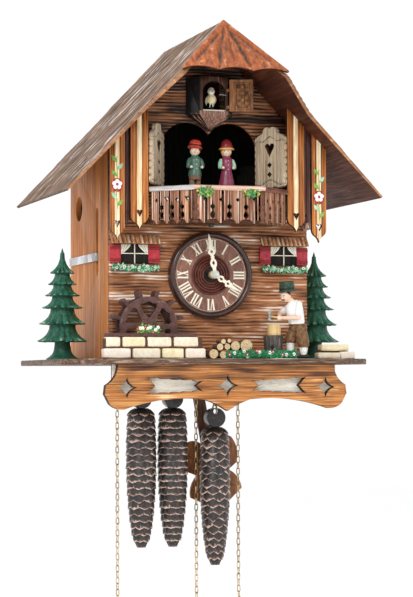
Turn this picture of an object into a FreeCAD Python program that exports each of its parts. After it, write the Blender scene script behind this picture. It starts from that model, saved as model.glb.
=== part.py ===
"""A chalet cuckoo clock that hangs on a wall, as separate pieces with real joints.

Design frame while modelling: X to the right, Y towards the wall, Z up, in millimetres, with the front
wall's face at Y = 0 and the base plate's top at Z = 0. Every piece is moved before it is written, so that
the written origin is the hole of the wall hanger, on the plane of the house wall.
"""
import FreeCAD, Part

import math
import os

V = FreeCAD.Vector

# ---- driving dimensions -------------------------------------------------------------------------------
CASE_HALF = 109.5          # half the width of the case
CASE_DEPTH = 165.0         # front wall's face to the back of the case
BOARD = 6.0                # thickness of the side boards, the roof boards and the base plate
FRONT_WALL = 5.0
HANGER_Z = 300.0           # height of the hanger's hole above the base plate
HANGER_R = 4.0
HANGER_PLATE = 2.0

RIDGE_Z = 350.7            # top of the roof
EAVE_X = 173.4
EAVE_Z = 172.4
SLOPE = (RIDGE_Z - EAVE_Z) / EAVE_X
UNDER_RIDGE_Z = RIDGE_Z - BOARD * math.sqrt(1.0 + SLOPE * SLOPE)
EAVE_FRONT = -65.3         # front edge of the roof, in Y
RAKE_KINK_X = 92.0         # where the front edge starts to lean forwards
HIP_X = 54.9               # lower corner of the carved hip
HIP_Y = -93.0
APEX_Y = -51.7

BASE_HALF = 166.3
BASE_WING_Y = -27.0
BASE_FRONT_Y = -66.0
FRIEZE_Y = -61.0           # front face of the fretwork frieze under the base plate
FRIEZE_THICK = 9.0

WINDOW_HALF = 53.0         # double arched window
DIAL_Z = 88.3
DIAL_R = 46.0
BAY_Y = -18.0              # front face of the cuckoo's bay
BAY_DOOR_HALF = 12.0
DOOR_HINGE_X = 14.4
DOOR_HINGE_Y = -19.9
DOOR_OPEN = 160.0          # the door stands open by this many degrees
CAROUSEL_Y = -6.0
DOLL_X = 17.5
WHEEL_X = -74.0
WHEEL_Z = 33.5
WHEEL_R = 39.0
WHEEL_Y = -17.0

CHAIN_Y = 22.0             # plane of the three chains
CHAIN_D = 5.0
SPROCKET_Z = 45.0
SPROCKET_R = 13.0          # from the wheel's axis to the line of the chain
CONE_R = 16.6
CONE_LENGTH = 146.0
CONE_BELLY = 0.35          # where along its length the cone is widest
CONE_TAPER = 0.72
RESERVE_TOP = 155.0        # top of the stiff run of chain, inside the case
# name, x of the sprocket, side of the weight (-1 left, 1 right), top of the cone, x of the hank
TRAINS = [
    ("time", 25.2, -1, -71.9, 38.2),
    ("strike", -21.6, -1, -51.4, -11.2),
    ("music", -82.0, 1, -51.4, -95.0),
]
HANK_TOP = -262.0
HANK_BOTTOM = -350.0
HANK_HALF_X = 6.0
HANK_HALF_Y = 22.0
RING_R = 8.0
RING_WIRE = 1.3

PENDULUM_PIVOT = V(-24.0, 52.0, 118.0)
PENDULUM_LEAN = 10.0       # the pendulum is drawn at the right end of its swing
LEAF_DROP = 246.0          # pivot to the middle of the carved leaf

ARM_PIVOT = V(80.0, -42.0, 56.0)   # shoulder of the woodcutter
RUNNING = 0.05             # radial clearance of a turning fit

pieces = {}


# ---- helpers ------------------------------------------------------------------------------------------
def box(x0, x1, y0, y1, z0, z1):
    return Part.makeBox(x1 - x0, y1 - y0, z1 - z0, V(x0, y0, z0))


def rod_y(x, z, r, y0, y1):
    return Part.makeCylinder(r, y1 - y0, V(x, y0, z), V(0, 1, 0))


def rod_z(x, y, r, z0, z1):
    return Part.makeCylinder(r, z1 - z0, V(x, y, z0), V(0, 0, 1))


def rod(a, b, r):
    return Part.makeCylinder(r, (b - a).Length, a, b - a)


def ball(centre, r):
    return Part.makeSphere(r, centre)


def wire_of(start, moves, at):
    """Closed wire: a move is an end point, or (middle point, end point) for an arc."""
    edges = []
    here = at(*start)
    for move in list(moves) + [start]:
        if isinstance(move[0], tuple):
            there = at(*move[1])
            edges.append(Part.Arc(here, at(*move[0]), there).toShape())
        else:
            there = at(*move)
            if (there - here).Length < 1e-6:
                continue
            edges.append(Part.LineSegment(here, there).toShape())
        here = there
    return Part.Wire(edges)


def board(start, moves, y0, y1):
    """A board seen from the front: outline in (x, z), solid from y0 to y1."""
    wire = wire_of(start, moves, lambda x, z: V(x, y0, z))
    return Part.Face(wire).extrude(V(0, y1 - y0, 0))


def slab(start, moves, z0, z1):
    """A board seen from above: outline in (x, y), solid from z0 to z1."""
    wire = wire_of(start, moves, lambda x, y: V(x, y, z0))
    return Part.Face(wire).extrude(V(0, 0, z1 - z0))


def turned(profile, x, y, axis=V(0, 0, 1)):
    """A turned solid: profile in (radius, height) about a vertical line, or about Y at (x, z)."""
    if axis.z:
        wire = Part.makePolygon([V(x + r, y, z) for r, z in profile + profile[:1]])
        return Part.Face(wire).revolve(V(x, y, 0), V(0, 0, 1), 360)
    wire = Part.makePolygon([V(x + r, d, y) for r, d in profile + profile[:1]])
    return Part.Face(wire).revolve(V(x, 0, y), V(0, 1, 0), 360)


def scallops(a, b, count, depth):
    """Arc moves from a to b: count small lobes that bulge to the right of the way there."""
    dx = (b[0] - a[0]) / count
    dz = (b[1] - a[1]) / count
    length = math.hypot(dx, dz)
    out = (dz / length * depth, -dx / length * depth)
    moves = []
    for i in range(count):
        mid = (a[0] + dx * (i + 0.5) + out[0], a[1] + dz * (i + 0.5) + out[1])
        end = (a[0] + dx * (i + 1), a[1] + dz * (i + 1))
        moves.append((mid, end))
    return moves


def heart(cx, cz, w, h, y0, y1):
    crown = cz + h / 2
    cheek = crown - 0.22 * w
    moves = [(cx + w / 2, cheek), ((cx + w / 4, crown), (cx, cheek))]
    moves.append(((cx - w / 4, crown), (cx - w / 2, cheek)))
    return board((cx, cz - h / 2), moves, y0, y1)


def diamond(cx, cz, w, h, y0, y1):
    return board((cx, cz - h / 2), [(cx + w / 2, cz), (cx, cz + h / 2), (cx - w / 2, cz)], y0, y1)


def fused(shapes):
    return shapes[0].multiFuse(shapes[1:]).removeSplitter()


def group(shapes):
    return Part.makeCompound(shapes)


def mirrored(shape):
    return shape.mirror(V(0, 0, 0), V(1, 0, 0))


def roof_under(x):
    return UNDER_RIDGE_Z - SLOPE * abs(x)


def turned_about(shape, centre, axis, degrees):
    copy = shape.copy()
    copy.rotate(centre, axis, degrees)
    return copy


# ---- case ---------------------------------------------------------------------------------------------
def under_roof(shape):
    """Cut a piece back to what lies below the roof boards."""
    tall = 400.0
    wide = 260.0
    low = roof_under(wide)
    house = board((-wide, -tall), [(wide, -tall), (wide, low), (0, UNDER_RIDGE_Z), (-wide, low)], -200, 200)
    return shape.common(house)


def window_opening(y0, y1):
    sill = 146.0
    spring = 224.0
    cusp = 237.5
    crown = 249.5
    right = [(WINDOW_HALF, sill), (WINDOW_HALF, spring), ((23.0, crown), (0, cusp))]
    return board((-WINDOW_HALF, sill), right + [((-23.0, crown), (-WINDOW_HALF, spring))], y0, y1)


def front_wall():
    wall = under_roof(box(-CASE_HALF, CASE_HALF, 0, FRONT_WALL, 0, RIDGE_Z))
    holes = [window_opening(-1, FRONT_WALL + 1)]
    holes.append(box(-13.0, 13.0, -1, FRONT_WALL + 1, 256, 293))
    holes.append(rod_y(0, DIAL_Z, 5.0, -1, FRONT_WALL + 1))
    holes.append(rod_y(WHEEL_X, WHEEL_Z, 1.5 + RUNNING, -1, FRONT_WALL + 1))
    return wall.cut(group(holes))


def case_side(sign):
    side = under_roof(box(CASE_HALF - BOARD, CASE_HALF, FRONT_WALL, CASE_DEPTH, 0, RIDGE_Z))
    if sign > 0:
        return side
    side = mirrored(side)
    hole = Part.makeCylinder(13.6, BOARD + 2, V(-CASE_HALF - 1, 126.4, 165.8), V(1, 0, 0))
    slot = box(-CASE_HALF - 1, -CASE_HALF + BOARD + 1, 44.0, 53.6, 89.0, 161.0)
    slot = slot.makeFillet(4.6, [e for e in slot.Edges if abs(e.Length - BOARD - 2) < 1e-6])
    return side.cut(hole).cut(slot)


def back_cover():
    """Thin panel in the back of the case, with a grille of sound slots."""
    inside = CASE_HALF - BOARD
    panel = under_roof(box(-inside, inside, CASE_DEPTH - 6, CASE_DEPTH - HANGER_PLATE, 0, RIDGE_Z))
    cuts = [rod_y(0, HANGER_Z, 9.0, CASE_DEPTH - 7, CASE_DEPTH)]
    for i in range(7):
        x = -42.0 + 14.0 * i
        cuts.append(box(x - 3, x + 3, CASE_DEPTH - 7, CASE_DEPTH, 110, 190))
    return panel.cut(group(cuts))


def wall_hanger():
    plate = board((-20, 284), [(20, 284), (20, 304), ((0, 318), (-20, 304))],
                  CASE_DEPTH - HANGER_PLATE, CASE_DEPTH)
    cuts = [rod_y(0, HANGER_Z, HANGER_R, CASE_DEPTH - 3, CASE_DEPTH + 1)]
    for x in (-14, 14):
        cuts.append(rod_y(x, 291, 1.6, CASE_DEPTH - 3, CASE_DEPTH + 1))
    return plate.cut(group(cuts))


def wheel_slot():
    return box(WHEEL_X - 23, WHEEL_X + 23, -31, -4, -BOARD - 1, 1)


def base_plate():
    corner = 126.0
    wing = [(BASE_HALF, CASE_DEPTH), (BASE_HALF, BASE_WING_Y), ((151, -45), (corner, BASE_FRONT_Y + 2))]
    front = scallops((corner, BASE_FRONT_Y + 2), (-corner, BASE_FRONT_Y + 2), 9, -2.0)
    plate = slab((-BASE_HALF, CASE_DEPTH), wing + front + [((-151, -45), (-BASE_HALF, BASE_WING_Y))],
                 -BOARD, 0)
    cuts = [wheel_slot()]
    for name, x, side, top, hank_x in TRAINS:
        half = SPROCKET_R + 6
        cuts.append(box(x - half, x + half, CHAIN_Y - 6, CHAIN_Y + 6, -BOARD - 1, 1))
    px = PENDULUM_PIVOT.x
    py = PENDULUM_PIVOT.y
    cuts.append(box(px - 30, px + 30, py - 5, py + 5, -BOARD - 1, 1))
    return plate.cut(group(cuts))


# ---- roof ---------------------------------------------------------------------------------------------
def hip_frame():
    """Outer plane of the hip: a point and the normal that points out of the roof."""
    hip_z = RIDGE_Z - SLOPE * HIP_X
    across = V(1, 0, 0)
    down = V(0, HIP_Y - APEX_Y, hip_z - RIDGE_Z)
    return V(0, APEX_Y, RIDGE_Z), down.cross(across).normalize(), hip_z


def half_space(point, normal):
    """Everything behind the plane, as a large block."""
    size = 900.0
    block = Part.makeBox(size, size, size, V(-size / 2, -size / 2, -size))
    block.Placement = FreeCAD.Placement(point, FreeCAD.Rotation(V(0, 0, 1), normal))
    return block


def roof_board():
    def at(x, y):
        return V(x, y, RIDGE_Z - SLOPE * x)
    outline = [at(0, APEX_Y), at(HIP_X, HIP_Y), at(RAKE_KINK_X, EAVE_FRONT), at(EAVE_X, EAVE_FRONT)]
    outline += [at(EAVE_X, CASE_DEPTH), at(0, CASE_DEPTH)]
    inward = V(-SLOPE, 0, -1).normalize().multiply(BOARD)
    plate = Part.Face(Part.makePolygon(outline + outline[:1])).extrude(inward)
    plate = plate.common(box(0, 200, -200, 200, 0, 400))
    point, normal, hip_z = hip_frame()
    behind = half_space(point - normal * BOARD, normal)
    return plate.common(behind)


def roof_hip():
    point, normal, hip_z = hip_frame()
    corner = HIP_X + 1.5
    low = scallops((corner, hip_z - 2), (-corner, hip_z - 2), 3, 3.5)
    front = board((0, RIDGE_Z), [(corner, hip_z), (corner, hip_z - 2)] + low + [(-corner, hip_z)],
                  HIP_Y - 14, 40)
    skin = half_space(point, normal).cut(half_space(point - normal * (BOARD - 0.05), normal))
    return front.common(skin)


# ---- frieze under the base ----------------------------------------------------------------------------
def star(cx, cz, r, y0, y1):
    near = 0.24 * r
    start = (cx, cz - r)
    points = [(cx + r, cz), (cx, cz + r), (cx - r, cz), start]
    signs = [(1, -1), (1, 1), (-1, 1), (-1, -1)]
    moves = []
    for (sx, sz), end in zip(signs, points):
        moves.append(((cx + sx * near * 1.35, cz + sz * near * 1.35), end))
    return board(start, moves, y0, y1)


def banner(y0, y1):
    """Swallow-tailed cut-out that flares towards the outside, with scalloped long edges."""
    inner_low = (26.0, -33.6)
    outer_low = (85.5, -36.4)
    outer_high = (85.5, -18.4)
    inner_high = (26.0, -22.2)
    moves = scallops(inner_low, outer_low, 5, -1.3)
    moves += [(77.5, -27.6), outer_high]
    moves += scallops(outer_high, inner_high, 5, -1.3)
    return board(inner_low, moves + [(34.0, -27.8)], y0, y1)


def frieze_outline():
    right = [(116.5, -BOARD), ((119.5, -18.0), (129.0, -27.0)), (130.2, -36.0), (125.0, -46.0)]
    right += [((118.0, -50.5), (110.0, -51.5)), ((72.0, -42.5), (24.0, -42.0)), (12.0, -46.5), (0.0, -53.6)]
    left = [(-12.0, -46.5), (-24.0, -42.0), ((-72.0, -42.5), (-110.0, -51.5)), ((-118.0, -50.5), (-125.0, -46.0))]
    left += [(-130.2, -36.0), (-129.0, -27.0), ((-119.5, -18.0), (-116.5, -BOARD))]
    return right, left


def frieze_board():
    right, left = frieze_outline()
    y1 = FRIEZE_Y + FRIEZE_THICK
    panel = board(right[0], right[1:] + left, FRIEZE_Y, y1)
    cuts = [star(0, -27.6, 12.0, FRIEZE_Y - 1, y1 + 1)]
    for x in (-107.0, 107.0):
        cuts.append(star(x, -29.6, 11.2, FRIEZE_Y - 1, y1 + 1))
    opening = banner(FRIEZE_Y - 1, y1 + 1)
    return panel.cut(group(cuts + [opening, mirrored(opening)]))


def frieze_backing():
    y0 = FRIEZE_Y + FRIEZE_THICK
    return box(-121, 121, y0, y0 + 2.0, -39.0, -BOARD)


# ---- window, shutters, balcony -------------------------------------------------------------------------
def carved_shutter():
    """One carved shutter, modelled along +X from its hinge edge, then swung open."""
    length = 36.8
    low = 181.0
    shoulder = 234.0
    right = scallops((length, low + 1), (length, shoulder), 7, 1.3)
    top = [((32.2, 236.5), (27.6, 238.0)), ((23.4, 244.5), (18.4, 243.0)), ((13.4, 244.5), (9.2, 238.0))]
    left = [((4.6, 236.5), (0.0, shoulder))] + scallops((0.0, shoulder), (0.0, low + 1), 7, 1.3)
    foot = scallops((0.0, low + 1), (length, low + 1), 3, 1.6)
    panel = board((length, low + 1), right + top + left + foot[:-1] + [(foot[-1][0], (length, low + 1))],
                  -5.0, 0.0)
    cuts = [heart(18.4, 220.0, 12.6, 14.5, -6, 1)]
    for z in (204.4, 194.4):
        cuts.append(diamond(18.4, z, 6.2, 6.2, -6, 1))
    panel = panel.cut(group(cuts))
    hinge = V(WINDOW_HALF + 2.0, -1.4, 0)
    panel.translate(hinge)
    return turned_about(panel, hinge, V(0, 0, 1), -57.5)


def balcony_plan(grow):
    """Corners of the bay-shaped balcony in plan, moved out by grow."""
    return [(-77.0 - grow, -30.0), (-39.3 - 0.4 * grow, -69.0 - grow)], \
        [(39.3 + 0.4 * grow, -69.0 - grow), (77.0 + grow, -30.0)]


def balcony_floor():
    left, right = balcony_plan(-9.0)
    outline = left[1:] + right + [(70.0, 0.0), (-70.0, 0.0)]
    plate = slab(left[0], outline, 141.0, 146.0)
    return plate.cut(rod_z(0, CAROUSEL_Y, 3.0 + RUNNING, 140, 147))


def spindle(x):
    """Piercing between two slats: a long point over a bead and a teardrop."""
    right = [(x + 0.9, 157.6), ((x + 2.7, 155.2), (x + 0.9, 152.4)), (x + 0.8, 151.0), ((x + 2.9, 147.0), (x, 143.0))]
    left = [((x - 2.9, 147.0), (x - 0.8, 151.0)), (x - 0.9, 152.4), ((x - 2.7, 155.2), (x - 0.9, 157.6)), (x, 163.0)]
    return board((x, 163.0), right + left, -6, 1)


def railing_panel(width, slats):
    """One side of the railing, flat, centred on X = 0 with its face at Y = -5."""
    half = width / 2
    low = 138.0
    pitch = width / slats
    panel = board((-half, low), [(half, low), (half, 172.0), (-half, 172.0)], -5.0, 0.0)
    cuts = []
    for i in range(slats + 1):
        x = -half + pitch * i
        reach = pitch * 0.44
        cuts.append(board((x - reach, low - 1), [((x, low + 4.4), (x + reach, low - 1))], -6, 1))
    for i in range(1, slats):
        cuts.append(spindle(-half + pitch * i))
    for i in range(slats):
        x = -half + pitch * (i + 0.5)
        if i in (0, slats - 1):
            cuts.append(heart(x, 163.4, 5.2, 5.6, -6, 1))
        else:
            cuts.append(diamond(x, 162.5, 4.4, 4.8, -6, 1))
    panel = panel.cut(group(cuts))
    rail = box(-half, half, -7.0, 1.0, 172.0, 177.0)
    return panel.fuse(rail)


def placed_panel(a, b, slats, trim):
    """Stand a railing panel between two plan points, facing out of the balcony."""
    dx = b[0] - a[0]
    dy = b[1] - a[1]
    panel = railing_panel(math.hypot(dx, dy) - trim, slats)
    panel.rotate(V(0, 0, 0), V(0, 0, 1), math.degrees(math.atan2(dy, dx)))
    panel.translate(V((a[0] + b[0]) / 2, (a[1] + b[1]) / 2, 0))
    return panel


def balcony_railing():
    left, right = balcony_plan(-5.0)
    front = placed_panel(left[1], right[0], 4, 0.0)
    side = placed_panel(right[0], right[1], 4, 4.0)
    posts = [rod_z(right[0][0], right[0][1] - 1.0, 4.2, 138.0, 177.0)]
    posts.append(mirrored(posts[0]))
    return fused([front, side, mirrored(side)] + posts)


def drop_board(cx, half, y0, y1, tip, heart_z, x_heart=5.0):
    """Hanging fretwork board with an ogee point at its foot and a heart through it."""
    shoulder = tip + 15.0
    top = RIDGE_Z
    moves = [((cx + half * 0.86, tip + 9.5), (cx + half * 0.5, tip + 6.5))]
    moves.append(((cx + half * 0.16, tip + 3.8), (cx, tip)))
    moves.append(((cx - half * 0.16, tip + 3.8), (cx - half * 0.5, tip + 6.5)))
    moves.append(((cx - half * 0.86, tip + 9.5), (cx - half, shoulder)))
    moves.append((cx - half, top))
    moves.append((cx + half, top))
    panel = under_roof(board((cx + half, shoulder), moves, y0, y1))
    return panel.cut(heart(cx, heart_z, x_heart, x_heart * 1.15, y0 - 1, y1 + 1))


def drop_boards():
    boards = []
    for cx, half, y0, tip, heart_z in ((85.6, 9.4, -33.0, 133.3, 149.4), (110.2, 7.9, -36.0, 122.3, 137.8)):
        one = drop_board(cx, half, y0, y0 + 5.0, tip, heart_z, 6.6)
        boards += [one, mirrored(one)]
    return group(boards)


def drop_boards_dark():
    one = drop_board(97.2, 6.0, -27.6, -23.6, 138.0, 150.5, 3.6)
    return group([one, mirrored(one)])


def outer_fretwork():
    """Narrow scalloped boards that carry the drop boards back to the wall."""
    one = under_roof(box(104.5, 107.5, -30.6, 0.0, 137.0, 238.0))
    cuts = []
    for i in range(3):
        cuts.append(Part.makeCylinder(4.2, 5, V(103.5, -15.0, 140.0 + 11.0 * i), V(1, 0, 0)))
    one = one.cut(group(cuts))
    return group([one, mirrored(one)])


# ---- cottage windows -----------------------------------------------------------------------------------
COTTAGE_X = 82.4
COTTAGE_PANE = 14.6        # half width of the pane


def both_cottages(shapes):
    return group([s for one in shapes for s in (one, mirrored(one))])


def cottage_window():
    x = COTTAGE_X
    w = COTTAGE_PANE
    pane = box(x - w, x + w, -1.6, 0, 99.5, 119.5)
    bars = [box(x - 0.7, x + 0.7, -2.8, -1.6, 99.5, 119.5), box(x - w, x + w, -2.8, -1.6, 109.3, 110.7)]
    return both_cottages([fused([pane] + bars)])


def red_shutters():
    shapes = []
    for side in (-1, 1):
        near = COTTAGE_X + side * (COTTAGE_PANE + 0.2)
        far = COTTAGE_X + side * 27.0
        shutter = box(min(near, far), max(near, far), -2.6, 0, 100.0, 118.6)
        ledge = [box(min(near, far), max(near, far), -3.6, -2.6, z, z + 2.4) for z in (102.0, 114.2)]
        shapes.append(fused([shutter] + ledge))
    return both_cottages(shapes)


def window_awnings():
    shapes = []
    x0 = COTTAGE_X - 26.0
    wedge = wire_of((0.0, 129.6), [(-2.6, 129.6), (-9.6, 120.6), (-8.2, 119.7), (0.0, 124.2)],
                    lambda y, z: V(x0, y, z))
    shapes.append(Part.Face(wedge).extrude(V(52.0, 0, 0)))
    return both_cottages(shapes)


def flower_boxes():
    return both_cottages([box(COTTAGE_X - 25.5, COTTAGE_X + 25.5, -8.5, 0, 91.0, 98.6)])


# ---- dial and hands ------------------------------------------------------------------------------------
def dial():
    rings = [(3.2, 0.0), (DIAL_R, 0.0), (DIAL_R, -4.5), (DIAL_R - 1.5, -8.0), (DIAL_R - 4.0, -9.0)]
    rings += [(DIAL_R - 6.8, -7.2), (DIAL_R - 7.0, -5.2), (22.0, -5.2), (21.0, -6.4), (18.0, -5.4)]
    rings += [(16.0, -6.4), (13.0, -5.0), (10.5, -6.0), (8.0, -4.8), (3.2, -4.8)]
    return turned(rings, 0, DIAL_Z, V(0, 1, 0))


def carved_hand(length, width, y0, y1):
    """A carved hand that points up: two pierced leaves one above the other, then a long arrow tip."""
    z = DIAL_Z
    low = length * 0.28
    high = length * 0.56
    right = [(1.6, z + 3.0), ((width * 0.86, z + low), (1.3, z + low + width))]
    right += [(1.3, z + high - width), ((width, z + high), (1.7, z + high + width * 0.8)), (0.0, z + length)]
    left = [(-1.7, z + high + width * 0.8), ((-width, z + high), (-1.3, z + high - width))]
    left += [(-1.3, z + low + width), ((-width * 0.86, z + low), (-1.6, z + 3.0))]
    blade = board((-1.6, z - 3.0), [(1.6, z - 3.0)] + right + left, y0, y1)
    hub = rod_y(0, z, 4.4, y0, y1)
    eyes = [diamond(0, z + low, width * 0.8, width * 1.3, y0 - 1, y1 + 1)]
    eyes.append(diamond(0, z + high, width * 0.8, width * 1.1, y0 - 1, y1 + 1))
    return blade.fuse(hub).cut(group(eyes))


def hour_hand():
    hand = carved_hand(31.0, 4.0, -18.6, -17.1)
    hand = turned_about(hand, V(0, 0, DIAL_Z), V(0, 1, 0), 123.5)
    pipe = rod_y(0, DIAL_Z, 2.4, -18.6, 6.0)
    return hand.fuse(pipe).cut(rod_y(0, DIAL_Z, 1.2 + RUNNING, -20, 7))


def minute_hand():
    hand = carved_hand(43.0, 4.2, -21.0, -19.5)
    hand = turned_about(hand, V(0, 0, DIAL_Z), V(0, 1, 0), -9.7)
    nut = turned([(0, -24.0), (2.0, -24.0), (3.0, -22.6), (3.0, -21.0), (0, -21.0)], 0, DIAL_Z, V(0, 1, 0))
    arbor = rod_y(0, DIAL_Z, 1.2, -21.5, 41.0)
    return fused([hand, nut, arbor])


# ---- cuckoo bay ----------------------------------------------------------------------------------------
def cuckoo_bay():
    """Polygonal bay with an arched mouth, on a pointed bracket."""
    low = 257.0
    high = 296.0
    plan = [(-15.5, BAY_Y), (15.5, BAY_Y), (25.5, 0.0), (-25.5, 0.0)]
    bay = slab(plan[0], plan[1:], low, high)
    hollow = slab((-12.6, BAY_Y - 1), [(12.6, BAY_Y - 1), (18.0, 1.0), (-18.0, 1.0)], 260.5, high - 3.0)
    lip = slab(plan[0], [plan[1], (16.5, BAY_Y + 3), (-16.5, BAY_Y + 3)], low, high)
    mouth = board((-BAY_DOOR_HALF, 260.5), [(BAY_DOOR_HALF, 260.5), (BAY_DOOR_HALF, 279.0),
                  ((0.0, 291.5), (-BAY_DOOR_HALF, 279.0))], BAY_Y - 2, 2)
    bay = bay.cut(hollow).fuse(lip).cut(mouth)
    wide = wire_of((-15.5, BAY_Y), plan[1:], lambda x, y: V(x, y, low))
    mid = wire_of((-8.0, -11.0), [(8.0, -11.0), (13.0, 0.0), (-13.0, 0.0)], lambda x, y: V(x, y, 249.5))
    tip = wire_of((-1.0, -2.4), [(1.0, -2.4), (2.0, 0.0), (-2.0, 0.0)], lambda x, y: V(x, y, 242.0))
    bracket = Part.makeLoft([wide, mid, tip], True, True)
    pins = []
    for z in (264.0, 282.0):
        pins.append(rod_z(DOOR_HINGE_X, DOOR_HINGE_Y, 0.8, z - 2.7, z + 2.7))
        for low_z in (z - 2.7, z + 1.8):
            pins.append(box(DOOR_HINGE_X - 0.6, DOOR_HINGE_X + 0.6, DOOR_HINGE_Y, BAY_Y + 0.5,
                            low_z, low_z + 0.9))
    return fused([bay, bracket] + pins)


def cuckoo_door():
    """Modelled shut across the bay's mouth, then swung open about its hinge pins."""
    y1 = DOOR_HINGE_Y + 0.9
    y0 = y1 - 2.2
    x0 = DOOR_HINGE_X - 26.8
    x1 = DOOR_HINGE_X - 2.0
    door = box(x0, x1, y0, y1, 259.5, 293.0)
    door = door.cut(box(x0 + 3, x1 - 3, y0 - 1, y0 + 0.8, 262.5, 290.0))
    for z in (264.0, 282.0):
        knuckle = rod_z(DOOR_HINGE_X, DOOR_HINGE_Y, 1.5, z - 1.4, z + 1.4)
        leaf = box(x1 - 2, DOOR_HINGE_X, DOOR_HINGE_Y - 1.0, DOOR_HINGE_Y + 0.2, z - 1.4, z + 1.4)
        door = door.fuse(knuckle).fuse(leaf)
    for z in (264.0, 282.0):
        door = door.cut(rod_z(DOOR_HINGE_X, DOOR_HINGE_Y, 0.8 + RUNNING, z - 3, z + 3))
    return turned_about(door, V(DOOR_HINGE_X, DOOR_HINGE_Y, 0), V(0, 0, 1), DOOR_OPEN)


def cuckoo_bird():
    body = ball(V(-4.0, -21.0, 272.0), 5.6)
    head = ball(V(-5.0, -24.0, 280.0), 4.0)
    beak = Part.makeCone(1.4, 0.2, 4.0, V(-5.2, -27.6, 279.6), V(-0.1, -1, -0.05))
    tail = box(-6.5, -1.5, -17.0, -6.0, 269.0, 271.0)
    perch = box(-6.0, -2.0, -24.0, 2.0, 262.0, 263.6)
    legs = [rod(V(x, -21.0, 263.0), V(x, -21.0, 268.0), 0.8) for x in (-5.5, -2.5)]
    return fused([body, head, beak, tail, perch] + legs)


# ---- dancers -------------------------------------------------------------------------------------------
CAROUSEL_TOP = 174.0


def dancer_carousel():
    disc = rod_z(0, CAROUSEL_Y, 30.0, CAROUSEL_TOP - 3.0, CAROUSEL_TOP)
    hub = rod_z(0, CAROUSEL_Y, 7.0, 147.0, CAROUSEL_TOP - 3.0)
    shaft = rod_z(0, CAROUSEL_Y, 3.0, 139.0, 150.0)
    return fused([disc, hub, shaft])


def doll(x, skirt):
    """A turned doll: shoes or skirt, coat, head and brimmed hat."""
    z = CAROUSEL_TOP
    y = CAROUSEL_Y
    if skirt:
        lower = turned([(0, z), (9.0, z), (8.6, z + 4), (4.2, z + 23), (0, z + 23)], x, y)
        shapes = [lower]
    else:
        shapes = [rod_z(x + side * 3.2, y, 2.9, z, z + 16) for side in (-1, 1)]
        shapes.append(turned([(0, z + 14), (6.2, z + 14), (6.2, z + 20), (5.4, z + 24), (0, z + 24)], x, y))
    coat = turned([(0, z + 21), (4.6, z + 21), (5.6, z + 32), (5.0, z + 38), (2.2, z + 40), (0, z + 40)], x, y)
    head = ball(V(x, y, z + 44.5), 5.2)
    brim = 8.2
    hat = turned([(0, z + 47), (brim, z + 47), (brim, z + 48.2), (5.0, z + 49.5), (4.2, z + 57), (0, z + 58)], x, y)
    shapes += [coat, head, hat]
    for side in (-1, 1):
        elbow = V(x + side * 8.0, y - 2.0, z + 28)
        shapes.append(rod(V(x + side * 5.0, y, z + 36), elbow, 2.1))
        shapes.append(ball(elbow, 2.1))
        shapes.append(rod(elbow, V(x + side * 6.0, y - 6.5, z + 27), 1.8))
    return fused(shapes)


# ---- yard ----------------------------------------------------------------------------------------------
def mill_wheel():
    """Water wheel: two rims, six spokes, paddles and an axle that turns in the wall."""
    x = WHEEL_X
    z = WHEEL_Z
    rim = 31.0
    shapes = []
    for y0 in (WHEEL_Y - 9.0, WHEEL_Y + 5.0):
        shapes.append(rod_y(x, z, rim, y0, y0 + 4).cut(rod_y(x, z, rim - 8, y0 - 1, y0 + 5)))
    for i in range(6):
        spoke = box(x - 2, x + 2, WHEEL_Y - 7, WHEEL_Y + 7, z, z + rim - 6)
        shapes.append(turned_about(spoke, V(x, 0, z), V(0, 1, 0), 60 * i + 30))
    for i in range(12):
        paddle = box(x - 1.8, x + 1.8, WHEEL_Y - 9, WHEEL_Y + 9, z + 20, z + WHEEL_R - 0.3)
        shapes.append(turned_about(paddle, V(x, 0, z), V(0, 1, 0), 30 * i + 15))
    shapes.append(rod_y(x, z, 6.0, WHEEL_Y - 10, WHEEL_Y + 10))
    shapes.append(rod_y(x, z, 1.5, WHEEL_Y, FRONT_WALL + 4))
    return fused(shapes)


def stone_wall():
    """Two courses of stones on a mortar core with a plank on top, and the small pile at the right."""
    stones = []
    courses = [
        (0.0, -49.0, [(-128.0, -98.9), (-97.3, -67.6), (-66.0, -42.8), (-40.9, -19.3)]),
        (11.7, -46.5, [(-125.0, -109.5), (-108.0, -83.0), (-81.5, -55.2), (-53.6, -26.5)]),
    ]
    for z, y, spans in courses:
        for x0, x1 in spans:
            stones.append(box(x0, x1, y, y + 13.0, z, z + 10.8))
    stones.append(box(-126.0, -22.0, -40.0, -34.5, 0.0, 21.0))
    for x0, x1, z0, z1, y in ((112, 138, 0.3, 6.8, -26), (139, 156, 0.3, 8.0, -22), (118, 150, 8.2, 15.5, -20)):
        stones.append(box(x0, x1, y, y + 14, z0 - 0.3 if z0 < 1 else z0, z1))
    plank = box(-124.5, -27.5, -45.0, -35.5, 22.55, 26.0)
    return group(stones[:8] + [stones[8].cut(group(stones[:8]))] + stones[9:] + [plank])


def log_pile():
    ends = [(-10.0, 5.0, 5.0), (0.4, 4.1, 4.0), (-3.2, 12.2, 3.6), (0.2, 17.7, 2.6), (6.6, 18.5, 2.1)]
    ends += [(4.7, 12.4, 3.3), (13.6, 13.1, 5.2), (25.9, 13.3, 6.8), (10.0, 3.9, 3.8), (18.5, 3.6, 3.5)]
    ends += [(26.5, 3.0, 2.9), (33.5, 4.0, 3.9)]
    return group([rod_y(x, z, r, -47.0 + 0.4 * r, -27.0 - 0.3 * r) for x, z, r in ends])


def hedge():
    profile = [(-1.0, 0.0), ((-1.5, 6.0), (3.5, 9.5))]
    profile += scallops((3.5, 9.5), (71.0, 9.5), 8, -2.2)
    profile += [((76.0, 6.0), (75.0, 0.0))]
    return board(profile[0], profile[1:], -63.0, -55.0)


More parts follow.
